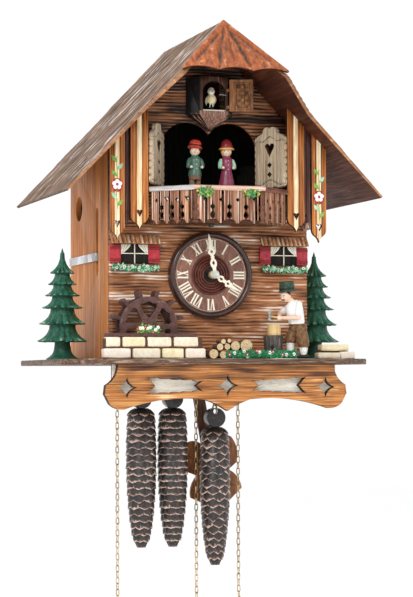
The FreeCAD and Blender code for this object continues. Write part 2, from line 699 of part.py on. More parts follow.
def chopping_block():
    block = turned([(0, 0), (12.6, 0), (11.0, 4), (10.6, 22), (11.6, 24.2), (0, 24.2)], 56.6, -41.0)
    billet = rod_z(57.4, -41.0, 7.4, 24.2, 35.6)
    return group([block, billet])


def woodcutter_body():
    """A stout man who leans to the left over the block, one foot before the other."""
    y = ARM_PIVOT.y
    shapes = []
    for side, x, back, toe, hem, hip in ((1, 76.5, 5.0, 6.0, 17.0, 80.5), (-1, 88.0, 6.5, 8.0, 12.0, 85.5)):
        foot_y = y + side * 4.5
        shoe = box(x - toe, x + back, foot_y - 3.0, foot_y + 3.0, 0.0, 4.2)
        sock = rod_z(x, foot_y, 4.2, 3.0, hem + 1.0)
        breeches = Part.makeCone(6.2, 6.8, 32.0 - hem, V(x, foot_y, hem), V(hip - x, side * -1.5, 30.0 - hem))
        shapes += [shoe, sock, breeches]
    shapes.append(ball(V(83.0, y, 33.0), 8.6))
    torso = Part.makeCone(8.6, 9.2, 24.4, V(82.5, y, 34.0), V(-4.0, 0, 24.0))
    shapes += [torso, ball(V(78.8, y, 57.0), 9.0)]
    shapes += [rod(V(77.0, y, 60.0), V(71.5, y, 64.0), 3.5), ball(V(70.0, y, 65.0), 6.2)]
    hat = turned([(0, 69.5), (9.6, 69.5), (9.6, 70.8), (8.2, 71.6), (7.6, 80.4), (0, 81.0)], 72.0, y)
    shapes.append(turned_about(hat, V(72.0, y, 70.5), V(0, 1, 0), -6))
    return fused(shapes).cut(rod_y(ARM_PIVOT.x, ARM_PIVOT.z, 1.5 + RUNNING, -60, -20))


def woodcutter_arms():
    """Both arms on one shaft through the shoulders, holding the axe."""
    shoulder = ARM_PIVOT
    hands = V(63.3, shoulder.y, 42.4)
    shapes = [rod_y(shoulder.x, shoulder.z, 1.5, shoulder.y - 15.0, shoulder.y + 15.0)]
    for side, x, z in ((-1, 79.0, 42.5), (1, 68.5, 47.0)):
        out = V(shoulder.x, shoulder.y + side * 13.2, shoulder.z)
        elbow = V(x, shoulder.y + side * 13.2, z)
        shapes += [rod(out, elbow, 3.2), ball(out, 3.4), ball(elbow, 3.2)]
        shapes.append(rod(elbow, V(hands.x, hands.y + side * 2.0, hands.z), 2.4))
    shapes += [ball(hands, 3.4), rod(V(66.0, shoulder.y, 42.0), V(51.0, shoulder.y, 44.4), 1.1)]
    head = wire_of((49.4, 39.4), [(54.2, 38.8), ((53.2, 44.0), (54.8, 49.4)), (49.6, 48.6), ((50.8, 44.0), (49.4, 39.4))],
                   lambda x, z: V(x, shoulder.y - 1.6, z))
    shapes.append(Part.Face(head).extrude(V(0, 3.2, 0)))
    return fused(shapes)


def pine_tree(x):
    """Turned pine: six trumpet-shaped tiers with flat undersides, on a flared foot."""
    y = 62.0
    tiers = [(18.5, 28.6), (37.0, 26.0), (54.0, 22.6), (67.0, 20.0), (79.0, 16.5), (91.0, 14.0)]
    profile = [(0, 0), (17.5, 0), (14.0, 3.5), (9.6, 9.0), (8.6, 18.5)]
    for i, (low, r) in enumerate(tiers):
        top = tiers[i + 1][0] if i < 5 else 111.0
        profile += [(r, low), (r, low + 0.8), (r * 0.62, low + 0.35 * (top - low))]
        profile.append((r * (0.48 if i < 5 else 0.16), top))
    profile += [(1.0, 115.0), (0, 119.0)]
    return turned(profile, x, y)


# ---- movement inside the case --------------------------------------------------------------------------
def movement_frame():
    """Two brass plates with pillars, one pair for time and strike, a small pair for the music train."""
    solids = []
    for x0, x1, z0, z1, arbors in ((-46, 52, 30, 125, [25.2, -21.6]), (-101, -64, 26, 72, [-82.0])):
        plates = [box(x0, x1, y, y + 1.5, z0, z1) for y in (10.0, 40.0)]
        for i, z in enumerate((z0 + 4, z1 - 4)):
            xs = (x0 + 3, x1 - 3) if x1 - x0 > 60 else ((x0 + x1) / 2,)
            plates += [rod_y(x, z, 2.0, 11.0, 40.5) for x in xs]
        if x1 - x0 > 60:
            pin = rod_y(PENDULUM_PIVOT.x, PENDULUM_PIVOT.z, 1.5, 41.0, PENDULUM_PIVOT.y + 5)
            plates.append(pin)
            plates += [box(x, x + 6, FRONT_WALL, 10.2, z0 + 2, z1 - 2) for x in (x0, x1 - 6)]
        else:
            plates.append(box(x0, x0 + 6, FRONT_WALL, 10.2, z0 + 2, z1 - 2))
        frame = fused(plates)
        holes = [rod_y(x, SPROCKET_Z, 1.5 + RUNNING, 9, 43) for x in arbors]
        if x1 - x0 > 60:
            holes.append(rod_y(0, DIAL_Z, 2.0, 9, 43))
        solids.append(frame.cut(group(holes)))
    return group(solids)


def bellows_boxes():
    """The two whistles of the cuckoo call, high in the case."""
    one = fused([box(62, 96, 60, 92, 172, 204), box(64, 94, 62, 90, 204, 212)])
    return group([one, mirrored(one)])


def music_box():
    bed = box(-100, -62, 62, 112, 0.0, 5.0)
    drum = rod_y(-81, 14.0, 7.0, 68, 106)
    ends = [box(-90, -72, 66, 69, 5.0, 22.0), box(-90, -72, 105, 108, 5.0, 22.0)]
    return fused([bed, drum] + ends)


# ---- chains, weights and pendulum ----------------------------------------------------------------------
def sprocket(x):
    """Chain wheel with twelve studs that stay inside the line of the chain, on its arbor."""
    wheel = rod_y(x, SPROCKET_Z, 8.6, CHAIN_Y - 3.5, CHAIN_Y + 3.5)
    shapes = [wheel, rod_y(x, SPROCKET_Z, 1.5, 9.6, 42.4)]
    for i in range(12):
        stud = box(x - 1.0, x + 1.0, CHAIN_Y - 2, CHAIN_Y + 2, SPROCKET_Z + 8, SPROCKET_Z + 10.0)
        shapes.append(turned_about(stud, V(x, 0, SPROCKET_Z), V(0, 1, 0), 30 * i))
    return fused(shapes)


def pine_cone(x, top):
    """Cast-iron pine cone with rows of scales, widest above its middle."""
    profile = [(0, top), (8.0, top)]
    rows = 16
    for i in range(rows):
        t = (i + 0.5) / rows
        r = CONE_R * math.sqrt(1.0 - ((t - CONE_BELLY) / CONE_TAPER) ** 2)
        z = top - CONE_LENGTH * t
        profile.append((r - 1.5, z + 3.2))
        profile.append((r, z - 2.6))
    profile += [(5.0, top - CONE_LENGTH), (0, top - CONE_LENGTH)]
    return turned(profile, x, CHAIN_Y)


def weight(x, top):
    """The cone with its cast knob, and the hook and chain that carry it, up into the case."""
    eye_z = top + 16.6
    knob = ball(V(x, CHAIN_Y, top + 10.0), 10.4).common(
        box(x - 11, x + 11, CHAIN_Y - 6, CHAIN_Y + 6, top - 2, top + 21))
    casting = pine_cone(x, top).fuse(knob).cut(rod_y(x, eye_z, 3.2, CHAIN_Y - 7, CHAIN_Y + 7))
    hook = Part.makeTorus(7.6, 1.0, V(x, CHAIN_Y, eye_z), V(1, 0, 0))
    hook = hook.cut(box(x - 2, x + 2, CHAIN_Y - 9, CHAIN_Y - 1, eye_z - 9, eye_z - 1.5))
    chain = rod_z(x, CHAIN_Y, CHAIN_D / 2 - 0.2, eye_z + 7.6, RESERVE_TOP)
    return group([casting, hook.fuse(chain)])


def chain_free(x):
    return rod_z(x, CHAIN_Y, CHAIN_D / 2, HANK_TOP, SPROCKET_Z)


def chain_hank(x):
    hank = box(x - HANK_HALF_X, x + HANK_HALF_X, CHAIN_Y - HANK_HALF_Y, CHAIN_Y + HANK_HALF_Y,
               HANK_BOTTOM, HANK_TOP)
    ends = [e for e in hank.Edges if abs(e.Length - 2 * HANK_HALF_X) < 1e-6]
    return hank.makeFillet(18.0, ends)


def pull_ring(x):
    return Part.makeTorus(RING_R, RING_WIRE, V(x, CHAIN_Y, HANK_BOTTOM - RING_R - RING_WIRE), V(1, 0, 0))


def lean(shape):
    """From hanging straight down to the right end of the swing."""
    return turned_about(shape, PENDULUM_PIVOT, V(0, 1, 0), -PENDULUM_LEAN)


def pendulum_rod():
    x = PENDULUM_PIVOT.x
    y = PENDULUM_PIVOT.y
    z = PENDULUM_PIVOT.z
    wood = box(x - 6.5, x + 6.5, y - 1.5, y + 1.5, z - LEAF_DROP - 30, z - 40)
    wire = box(x - 1.5, x + 1.5, y - 1.5, y + 1.5, z - 45, z)
    eye = rod_y(x, z, 5.0, y - 1.5, y + 1.5)
    whole = fused([wood, wire, eye]).cut(rod_y(x, z, 1.5 + RUNNING, y - 3, y + 3))
    return lean(whole)


def pendulum_bob():
    """Carved five-lobed leaf that clips on the front of the rod."""
    x = PENDULUM_PIVOT.x
    y = PENDULUM_PIVOT.y - 1.5
    z = PENDULUM_PIVOT.z - LEAF_DROP
    half = [(5.0, 28.0), ((14.0, 40.0), (27.0, 37.0)), ((31.0, 24.0), (28.0, 9.0)), (18.0, 3.0)]
    half += [((26.0, -6.0), (29.0, -19.0)), (17.0, -27.0), (0.0, -38.0)]
    other = [(-17.0, -27.0), (-29.0, -19.0), ((-26.0, -6.0), (-18.0, 3.0)), (-28.0, 9.0)]
    other += [((-31.0, 24.0), (-27.0, 37.0)), ((-14.0, 40.0), (-5.0, 28.0))]

    def moved(move):
        if isinstance(move[0], tuple):
            return (moved(move[0]), moved(move[1]))
        return (x + move[0], z + move[1])
    outline = [moved(m) for m in half + other]
    leaf = board(moved((0.0, 33.0)), outline, y - 4.0, y)
    return lean(leaf)


def silence_lever():
    """Bright strap on the left side; its tab goes in through the slot."""
    outer = -CASE_HALF - 0.5
    strap = box(outer - 1.5, outer, 46.0, 163.0, 104.5, 113.2)
    tab = box(outer - 1.5, -CASE_HALF + BOARD + 8, 46.0, 51.6, 104.5, 113.2)
    return strap.fuse(tab).removeSplitter()


# ---- build ---------------------------------------------------------------------------------------------
def build_case():
    right = roof_board()
    pieces["case_front_wall"] = front_wall()
    pieces["case_side_left"] = case_side(-1)
    pieces["case_side_right"] = case_side(1)
    pieces["back_cover"] = back_cover()
    pieces["wall_hanger"] = wall_hanger()
    pieces["base_plate"] = base_plate()
    pieces["roof_right"] = right
    pieces["roof_left"] = mirrored(right)
    pieces["roof_hip"] = roof_hip()
    pieces["frieze_board"] = frieze_board()
    pieces["frieze_backing"] = frieze_backing()


def build_front():
    shutter = carved_shutter()
    pieces["carved_shutters"] = group([shutter, mirrored(shutter)])
    pieces["balcony_floor"] = balcony_floor()
    pieces["balcony_railing"] = balcony_railing()
    pieces["drop_boards"] = drop_boards()
    pieces["drop_boards_dark"] = drop_boards_dark()
    pieces["fretwork_returns"] = outer_fretwork()
    pieces["cottage_windows"] = cottage_window()
    pieces["red_shutters"] = red_shutters()
    pieces["window_awnings"] = window_awnings()
    pieces["flower_boxes"] = flower_boxes()
    pieces["dial"] = dial()
    pieces["hour_hand"] = hour_hand()
    pieces["minute_hand"] = minute_hand()
    pieces["cuckoo_bay"] = cuckoo_bay()
    pieces["cuckoo_door"] = cuckoo_door()
    pieces["cuckoo_bird"] = cuckoo_bird()
    pieces["dancer_carousel"] = dancer_carousel()
    pieces["dancer_boy"] = doll(-DOLL_X, False)
    pieces["dancer_girl"] = doll(DOLL_X, True)


def build_yard():
    pieces["mill_wheel"] = mill_wheel()
    pieces["stone_wall"] = stone_wall()
    pieces["log_pile"] = log_pile()
    pieces["hedge"] = hedge()
    pieces["chopping_block"] = chopping_block()
    pieces["woodcutter_body"] = woodcutter_body()
    pieces["woodcutter_arms"] = woodcutter_arms()
    pieces["pine_tree_left"] = pine_tree(-144.0)
    pieces["pine_tree_right"] = pine_tree(140.7)


def build_works():
    pieces["movement_frame"] = movement_frame()
    pieces["bellows_boxes"] = bellows_boxes()
    pieces["music_box"] = music_box()
    pieces["silence_lever"] = silence_lever()
    pieces["pendulum_rod"] = pendulum_rod()
    pieces["pendulum_bob"] = pendulum_bob()
    for name, x, side, top, hank_x in TRAINS:
        loaded = x + side * SPROCKET_R
        free = x - side * SPROCKET_R
        pieces[name + "_sprocket"] = sprocket(x)
        pieces[name + "_weight"] = weight(loaded, top)
        pieces[name + "_chain_free"] = chain_free(free)
        pieces[name + "_chain_hank"] = chain_hank(hank_x)
        pieces[name + "_pull_ring"] = pull_ring(hank_x)


def write_all():
    os.makedirs("parts", exist_ok=True)
    for name in sorted(pieces):
        shape = pieces[name].copy()
        shape.translate(V(0, -CASE_DEPTH, -HANGER_Z))
        bounds = shape.BoundBox
        state = "ok" if shape.isValid() else "NOT VALID"
        print("%-18s %2d solids %9.0f mm3  x %.0f..%.0f y %.0f..%.0f z %.0f..%.0f  %s" % (
            name, len(shape.Solids), shape.Volume, bounds.XMin, bounds.XMax, bounds.YMin, bounds.YMax,
            bounds.ZMin, bounds.ZMax, state))
        shape.exportStep("parts/%s.step" % name)


build_case()
build_front()
build_yard()
build_works()
write_all()
print("%d nodes" % len(pieces))
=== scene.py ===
"""The looks of the chalet cuckoo clock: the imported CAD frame, dressed with carved, painted and cast pieces.

Pieces are modelled in design millimetres (X right, Y towards the wall with the front wall's face at 0, Z up
from the top of the base plate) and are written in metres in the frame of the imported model.
"""
import math
import random

import bmesh
import bpy
from mathutils import Matrix, Vector, noise
from mathutils.geometry import tessellate_polygon


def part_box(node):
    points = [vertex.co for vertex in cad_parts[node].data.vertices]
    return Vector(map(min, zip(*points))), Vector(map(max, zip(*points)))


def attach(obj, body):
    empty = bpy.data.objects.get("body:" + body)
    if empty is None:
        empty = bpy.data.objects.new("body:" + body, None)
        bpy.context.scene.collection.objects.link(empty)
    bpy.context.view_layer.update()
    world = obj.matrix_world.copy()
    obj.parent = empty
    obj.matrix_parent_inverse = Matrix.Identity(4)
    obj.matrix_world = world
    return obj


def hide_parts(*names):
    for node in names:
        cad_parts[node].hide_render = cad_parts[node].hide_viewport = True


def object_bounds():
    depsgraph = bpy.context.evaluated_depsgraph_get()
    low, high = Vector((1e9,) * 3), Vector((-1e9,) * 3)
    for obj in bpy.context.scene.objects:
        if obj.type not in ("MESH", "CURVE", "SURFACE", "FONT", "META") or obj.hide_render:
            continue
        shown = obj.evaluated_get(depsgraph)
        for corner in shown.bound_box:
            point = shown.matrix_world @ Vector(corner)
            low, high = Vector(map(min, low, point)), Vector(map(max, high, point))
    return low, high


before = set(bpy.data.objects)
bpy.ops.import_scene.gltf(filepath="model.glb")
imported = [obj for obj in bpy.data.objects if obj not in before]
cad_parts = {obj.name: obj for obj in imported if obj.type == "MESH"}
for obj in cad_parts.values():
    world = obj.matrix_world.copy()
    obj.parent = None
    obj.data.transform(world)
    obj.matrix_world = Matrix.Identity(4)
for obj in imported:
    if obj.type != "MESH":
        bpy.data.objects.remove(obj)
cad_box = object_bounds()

MM = 0.001
FACE_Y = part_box("case_front_wall")[0].y
PLATE_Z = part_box("base_plate")[1].z


# ---- places -------------------------------------------------------------------------------------------
def at(p):
    """A point in design millimetres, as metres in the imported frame."""
    return Vector((p[0] * MM, FACE_Y + p[1] * MM, PLATE_Z + p[2] * MM))


def design(p):
    """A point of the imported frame, in design millimetres."""
    return Vector((p[0], p[1] - FACE_Y, p[2] - PLATE_Z)) / MM


def low(node):
    return design(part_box(node)[0])


def high(node):
    return design(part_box(node)[1])


def mid(node):
    return (low(node) + high(node)) / 2


def place(origin, x_axis=(1, 0, 0), y_axis=(0, 1, 0)):
    """Matrix of a local frame: its origin, and its first two axes in the design frame."""
    x = Vector(x_axis).normalized()
    z = x.cross(Vector(y_axis)).normalized()
    y = z.cross(x)
    return Matrix.Translation(Vector(origin)) @ Matrix((x, y, z)).transposed().to_4x4()


def front(y, x=0.0, z=0.0):
    """A local frame on a board seen from the front: u to the right, v up, w towards the viewer."""
    return place((x, y, z), (1, 0, 0), (0, 0, 1))


def wobble(u, v, seed, scale=0.05):
    """Smooth noise from -1 to 1 that is the same on each run."""
    return noise.noise(Vector((u * scale, v * scale, seed * 7.31)))


# ---- camera, light and stage ---------------------------------------------------------------------------
def make_camera():
    yaw, pitch, roll = 0.30766, 0.038256, -0.003626
    spot = Vector((-0.6739, -2.2753, -0.3210))
    view = Vector((math.sin(yaw) * math.cos(pitch), math.cos(yaw) * math.cos(pitch), math.sin(pitch)))
    level = Vector((math.cos(yaw), -math.sin(yaw), 0))
    upward = level.cross(view)
    right = level * math.cos(roll) + upward * math.sin(roll)
    up = upward * math.cos(roll) - level * math.sin(roll)
    data = bpy.data.cameras.new("camera")
    data.sensor_fit = "AUTO"
    data.sensor_width = 36.0
    data.lens = 126.94
    data.clip_end = 50.0
    camera = bpy.data.objects.new("camera", data)
    camera.matrix_world = Matrix.Translation(spot) @ Matrix((right, up, -view)).transposed().to_4x4()
    bpy.context.scene.collection.objects.link(camera)
    bpy.context.scene.camera = camera


def area_light(name, spot, aim, size, power):
    data = bpy.data.lights.new(name, "AREA")
    data.shape = "RECTANGLE"
    data.size, data.size_y = size
    data.energy = power
    light = bpy.data.objects.new(name, data)
    light.location = spot
    light.rotation_euler = (Vector(aim) - Vector(spot)).to_track_quat("-Z", "Y").to_euler()
    bpy.context.scene.collection.objects.link(light)


def make_stage():
    """A pale floor that sweeps up into a pale backdrop, and soft studio light."""
    world = bpy.data.worlds.new("studio")
    world.use_nodes = True
    world.node_tree.nodes["Background"].inputs["Color"].default_value = (1.0, 1.0, 1.0, 1.0)
    world.node_tree.nodes["Background"].inputs["Strength"].default_value = 0.95
    bpy.context.scene.world = world
    area_light("key", (-1.7, -2.6, 1.5), (0, 0, -0.1), (1.2, 1.2), 46.0)
    area_light("fill", (1.9, -2.4, 0.5), (0, 0, -0.2), (1.6, 1.6), 8.0)
    area_light("top", (0.0, 0.2, 1.9), (0, 0, 0), (1.6, 1.6), 10.0)
    floor_z = cad_box[0].z - 0.03
    section = [(-6.0, 0.0), (3.4, 0.0)]
    section += [(3.4 + 1.2 * math.sin(a), 1.2 - 1.2 * math.cos(a))
                for a in (0.26, 0.52, 0.79, 1.05, 1.31, 1.57)]
    section.append((4.6, 6.0))
    points = [(x, y, floor_z + z) for y, z in section for x in (-8.0, 8.0)]
    faces = [(2 * i, 2 * i + 1, 2 * i + 3, 2 * i + 2) for i in range(len(section) - 1)]
    mesh = bpy.data.meshes.new("floor")
    mesh.from_pydata(points, [], faces)
    mesh.polygons.foreach_set("use_smooth", [True] * len(mesh.polygons))
    mesh.materials.append(painted("floor_paint", (0.97, 0.97, 0.97), (0.98, 0.98, 0.98), 900.0, 0.9,
                                  plain=True))
    floor = bpy.data.objects.new("floor", mesh)
    bpy.context.scene.collection.objects.link(floor)
    bpy.context.scene.view_settings.view_transform = "Standard"


# ---- materials -----------------------------------------------------------------------------------------
class Finish:
    """The node graph of one material, all in object space."""

    def __init__(self, name, gloss=0.5, metal=0.0, coat=0.0):
        self.material = bpy.data.materials.new(name)
        self.material.use_nodes = True
        self.tree = self.material.node_tree
        self.shader = self.tree.nodes["Principled BSDF"]
        self.shader.inputs["Roughness"].default_value = gloss
        self.shader.inputs["Metallic"].default_value = metal
        self.shader.inputs["Specular IOR Level"].default_value = 0.3
        self.shader.inputs["Coat Weight"].default_value = coat
        self.shader.inputs["Coat Roughness"].default_value = 0.25

    def node(self, kind, **settings):
        made = self.tree.nodes.new("ShaderNode" + kind)
        for key, value in settings.items():
            setattr(made, key, value)
        return made

    def feed(self, socket, value):
        if isinstance(value, bpy.types.NodeSocket):
            self.tree.links.new(value, socket)
        elif socket.type == "RGBA":
            socket.default_value = (*value[:3], 1.0)
        else:
            socket.default_value = value

    def coords(self, size, turn=(0, 0, 0)):
        """Object coordinates measured in steps of size (mm) along the axes of a turned frame."""
        made = self.node("Mapping", vector_type="TEXTURE")
        made.inputs["Rotation"].default_value = turn
        made.inputs["Scale"].default_value = [s * MM for s in size]
        self.feed(made.inputs["Vector"], self.node("TexCoord").outputs["Object"])
        return made.outputs["Vector"]

    def noise(self, coords, detail=5.0, rough=0.6, bend=0.0):
        made = self.node("TexNoise")
        self.feed(made.inputs["Vector"], coords)
        made.inputs["Scale"].default_value = 1.0
        made.inputs["Detail"].default_value = detail
        made.inputs["Roughness"].default_value = rough
        made.inputs["Distortion"].default_value = bend
        return made.outputs["Fac"]

    def ramp(self, value, stops):
        made = self.node("ValToRGB")
        made.color_ramp.interpolation = "LINEAR"
        bar = made.color_ramp.elements
        while len(bar) < len(stops):
            bar.new(0.5)
        for slot, (spot, colour) in zip(bar, stops):
            slot.position = spot
            slot.color = (*colour, 1.0) if hasattr(colour, "__len__") else (colour, colour, colour, 1.0)
        self.feed(made.inputs["Fac"], value)
        return made.outputs["Color"]

    def mix(self, a, b, amount=0.5, kind="MIX"):
        made = self.node("Mix", data_type="RGBA", blend_type=kind)
        self.feed(made.inputs["Factor"], amount)
        self.feed(made.inputs[6], a)
        self.feed(made.inputs[7], b)
        return made.outputs[2]

    def math(self, kind, a, b=0.0):
        made = self.node("Math", operation=kind)
        self.feed(made.inputs[0], a)
        self.feed(made.inputs[1], b)
        return made.outputs[0]

    def attribute(self, name):
        return self.node("Attribute", attribute_name=name).outputs["Fac"]

    def axis(self, name):
        made = self.node("SeparateXYZ")
        self.feed(made.inputs[0], self.node("TexCoord").outputs["Object"])
        return made.outputs[name]

    def done(self, colour, height=None, depth=0.1, rough=None):
        """Colour, bump of a depth in mm, and roughness from a value."""
        self.feed(self.shader.inputs["Base Color"], colour)
        if rough is not None:
            self.feed(self.shader.inputs["Roughness"], rough)
        if height is not None:
            bump = self.node("Bump")
            bump.inputs["Distance"].default_value = depth * MM
            bump.inputs["Strength"].default_value = 1.0
            self.feed(bump.inputs["Height"], height)
            self.feed(self.shader.inputs["Normal"], bump.outputs["Normal"])
        return self.material


def wood(name, dark, base, light, size, turn=(0, 0, 0), gloss=0.45, depth=0.12, toned=False,
         stain_and_shade=(0.02, 0.01, 0.006),
         worn=(0.9, 0.82, 0.72), coat=0.0, bands=None):
    """Stained wood: stretched fibres, broad patches and fine pores.

    Toned wood darkens where its tone is low and pales where it is high: staining and wear, on some pieces
    also painted shade and painted highlight.
    """
    f = Finish(name, gloss, coat=coat)
    fibre = f.noise(f.coords(size, turn), 7.0, 0.62, 0.8)
    patch = f.noise(f.coords([s * 5.0 for s in size], turn), 3.0, 0.5, 0.4)
    pores = f.noise(f.coords([size[0] * 0.35, size[1] * 0.35, size[2] * 0.35], turn), 4.0, 0.7, 0.2)
    colour = f.ramp(fibre, [(0.28, dark), (0.5, base), (0.72, light)])
    if bands:
        colour = f.mix(colour, bands(f), 1.0, "MULTIPLY")
    colour = f.mix(colour, f.ramp(patch, [(0.3, 0.62), (0.7, 1.25)]), 0.75, "MULTIPLY")
    colour = f.mix(colour, f.ramp(pores, [(0.34, 0.45), (0.48, 1.0)]), 0.6, "MULTIPLY")
    if toned:
        tone = f.attribute("tone")
        uneven = f.math("ADD", tone, f.math("MULTIPLY", f.math("SUBTRACT", fibre, 0.5), 0.55))
        colour = f.mix(colour, stain_and_shade, f.ramp(uneven, [(0.05, 1.0), (0.5, 0.0)]))
        colour = f.mix(colour, worn, f.ramp(uneven, [(0.72, 0.0), (1.05, 0.9)]))
    rough = f.ramp(fibre, [(0.3, gloss + 0.15), (0.7, max(gloss - 0.08, 0.05))])
    return f.done(colour, f.math("ADD", fibre, pores), depth, rough)


def painted(name, base, other, size=6.0, gloss=0.5, depth=0.05, toned=False, worn=(0.9, 0.9, 0.85),
            stain_and_shade=(0.02, 0.02, 0.02), coat=0.0, plain=False):
    """Brushed paint that varies between two colours; plain paint hardly varies in brightness."""
    f = Finish(name, gloss, coat=coat)
    cloud = f.noise(f.coords([size] * 3), 5.0, 0.6, 0.5)
    fine = f.noise(f.coords([size * 0.16] * 3), 3.0, 0.6)
    colour = f.ramp(cloud, [(0.35, base), (0.65, other)])
    colour = f.mix(colour, f.ramp(fine, [(0.3, 0.8), (0.7, 1.12)]), 0.05 if plain else 0.5, "MULTIPLY")
    if toned:
        tone = f.math("ADD", f.attribute("tone"), f.math("MULTIPLY", f.math("SUBTRACT", fine, 0.5), 0.5))
        colour = f.mix(colour, stain_and_shade, f.ramp(tone, [(0.05, 1.0), (0.45, 0.0)]))
        colour = f.mix(colour, worn, f.ramp(tone, [(0.7, 0.0), (1.0, 1.0)]))
    rough = f.ramp(fine, [(0.3, min(gloss + 0.12, 1.0)), (0.7, max(gloss - 0.08, 0.04))])
    return f.done(colour, f.math("ADD", cloud, fine), depth, rough)


def metal(name, base, stained, gloss=0.3, size=5.0):
    """Metal with tarnish in soft patches and fine scratches."""
    f = Finish(name, gloss, metal=1.0)
    patch = f.noise(f.coords([size] * 3), 5.0, 0.6, 0.4)
    fine = f.noise(f.coords([size * 0.1, size * 0.1, size * 0.7]), 4.0, 0.7)
    colour = f.ramp(patch, [(0.35, stained), (0.6, base)])
    colour = f.mix(colour, f.ramp(fine, [(0.3, 0.8), (0.7, 1.1)]), 0.6, "MULTIPLY")
    return f.done(colour, fine, 0.03, f.ramp(patch, [(0.35, gloss + 0.2), (0.65, gloss)]))


# ---- mesh building -------------------------------------------------------------------------------------
def circle(r, n, start=0.0):
    return [(r * math.cos(start + 2 * math.pi * i / n), r * math.sin(start + 2 * math.pi * i / n))
            for i in range(n)]


def arc_points(a, b, c, n=8):
    """Points from a to c on the arc through b, without a."""
    (ax, ay), (bx, by), (cx, cy) = a, b, c
    d = 2 * (ax * (by - cy) + bx * (cy - ay) + cx * (ay - by))
    if abs(d) < 1e-9:
        return [b, c]
    ux = ((ax**2 + ay**2) * (by - cy) + (bx**2 + by**2) * (cy - ay) + (cx**2 + cy**2) * (ay - by)) / d
    uy = ((ax**2 + ay**2) * (cx - bx) + (bx**2 + by**2) * (ax - cx) + (cx**2 + cy**2) * (bx - ax)) / d
    r = math.hypot(ax - ux, ay - uy)
    t0 = math.atan2(ay - uy, ax - ux)
    turn = (math.atan2(cy - uy, cx - ux) - t0) % (2 * math.pi)
    if (math.atan2(by - uy, bx - ux) - t0) % (2 * math.pi) > turn:
        turn -= 2 * math.pi
    return [(ux + r * math.cos(t0 + turn * (i + 1) / n), uy + r * math.sin(t0 + turn * (i + 1) / n))
            for i in range(n)]


def outline(start, moves, n=8):
    """Closed loop of points: a move is an end point, or (middle point, end point) for an arc."""
    loop = [start]
    for move in moves:
        if isinstance(move[0], tuple):
            loop += arc_points(loop[-1], move[0], move[1], n)
        else:
            loop.append(move)
    return loop[:-1] if math.dist(loop[0], loop[-1]) < 1e-6 else loop


def heart_loop(u, v, w, h):
    cheek = v + h / 2 - 0.22 * w
    return outline((u, v - h / 2), [(u + w / 2, cheek), ((u + w / 4, v + h / 2), (u, cheek)),
                                    ((u - w / 4, v + h / 2), (u - w / 2, cheek))], 5)


def diamond_loop(u, v, w, h):
    return [(u, v - h / 2), (u + w / 2, v), (u, v + h / 2), (u - w / 2, v)]


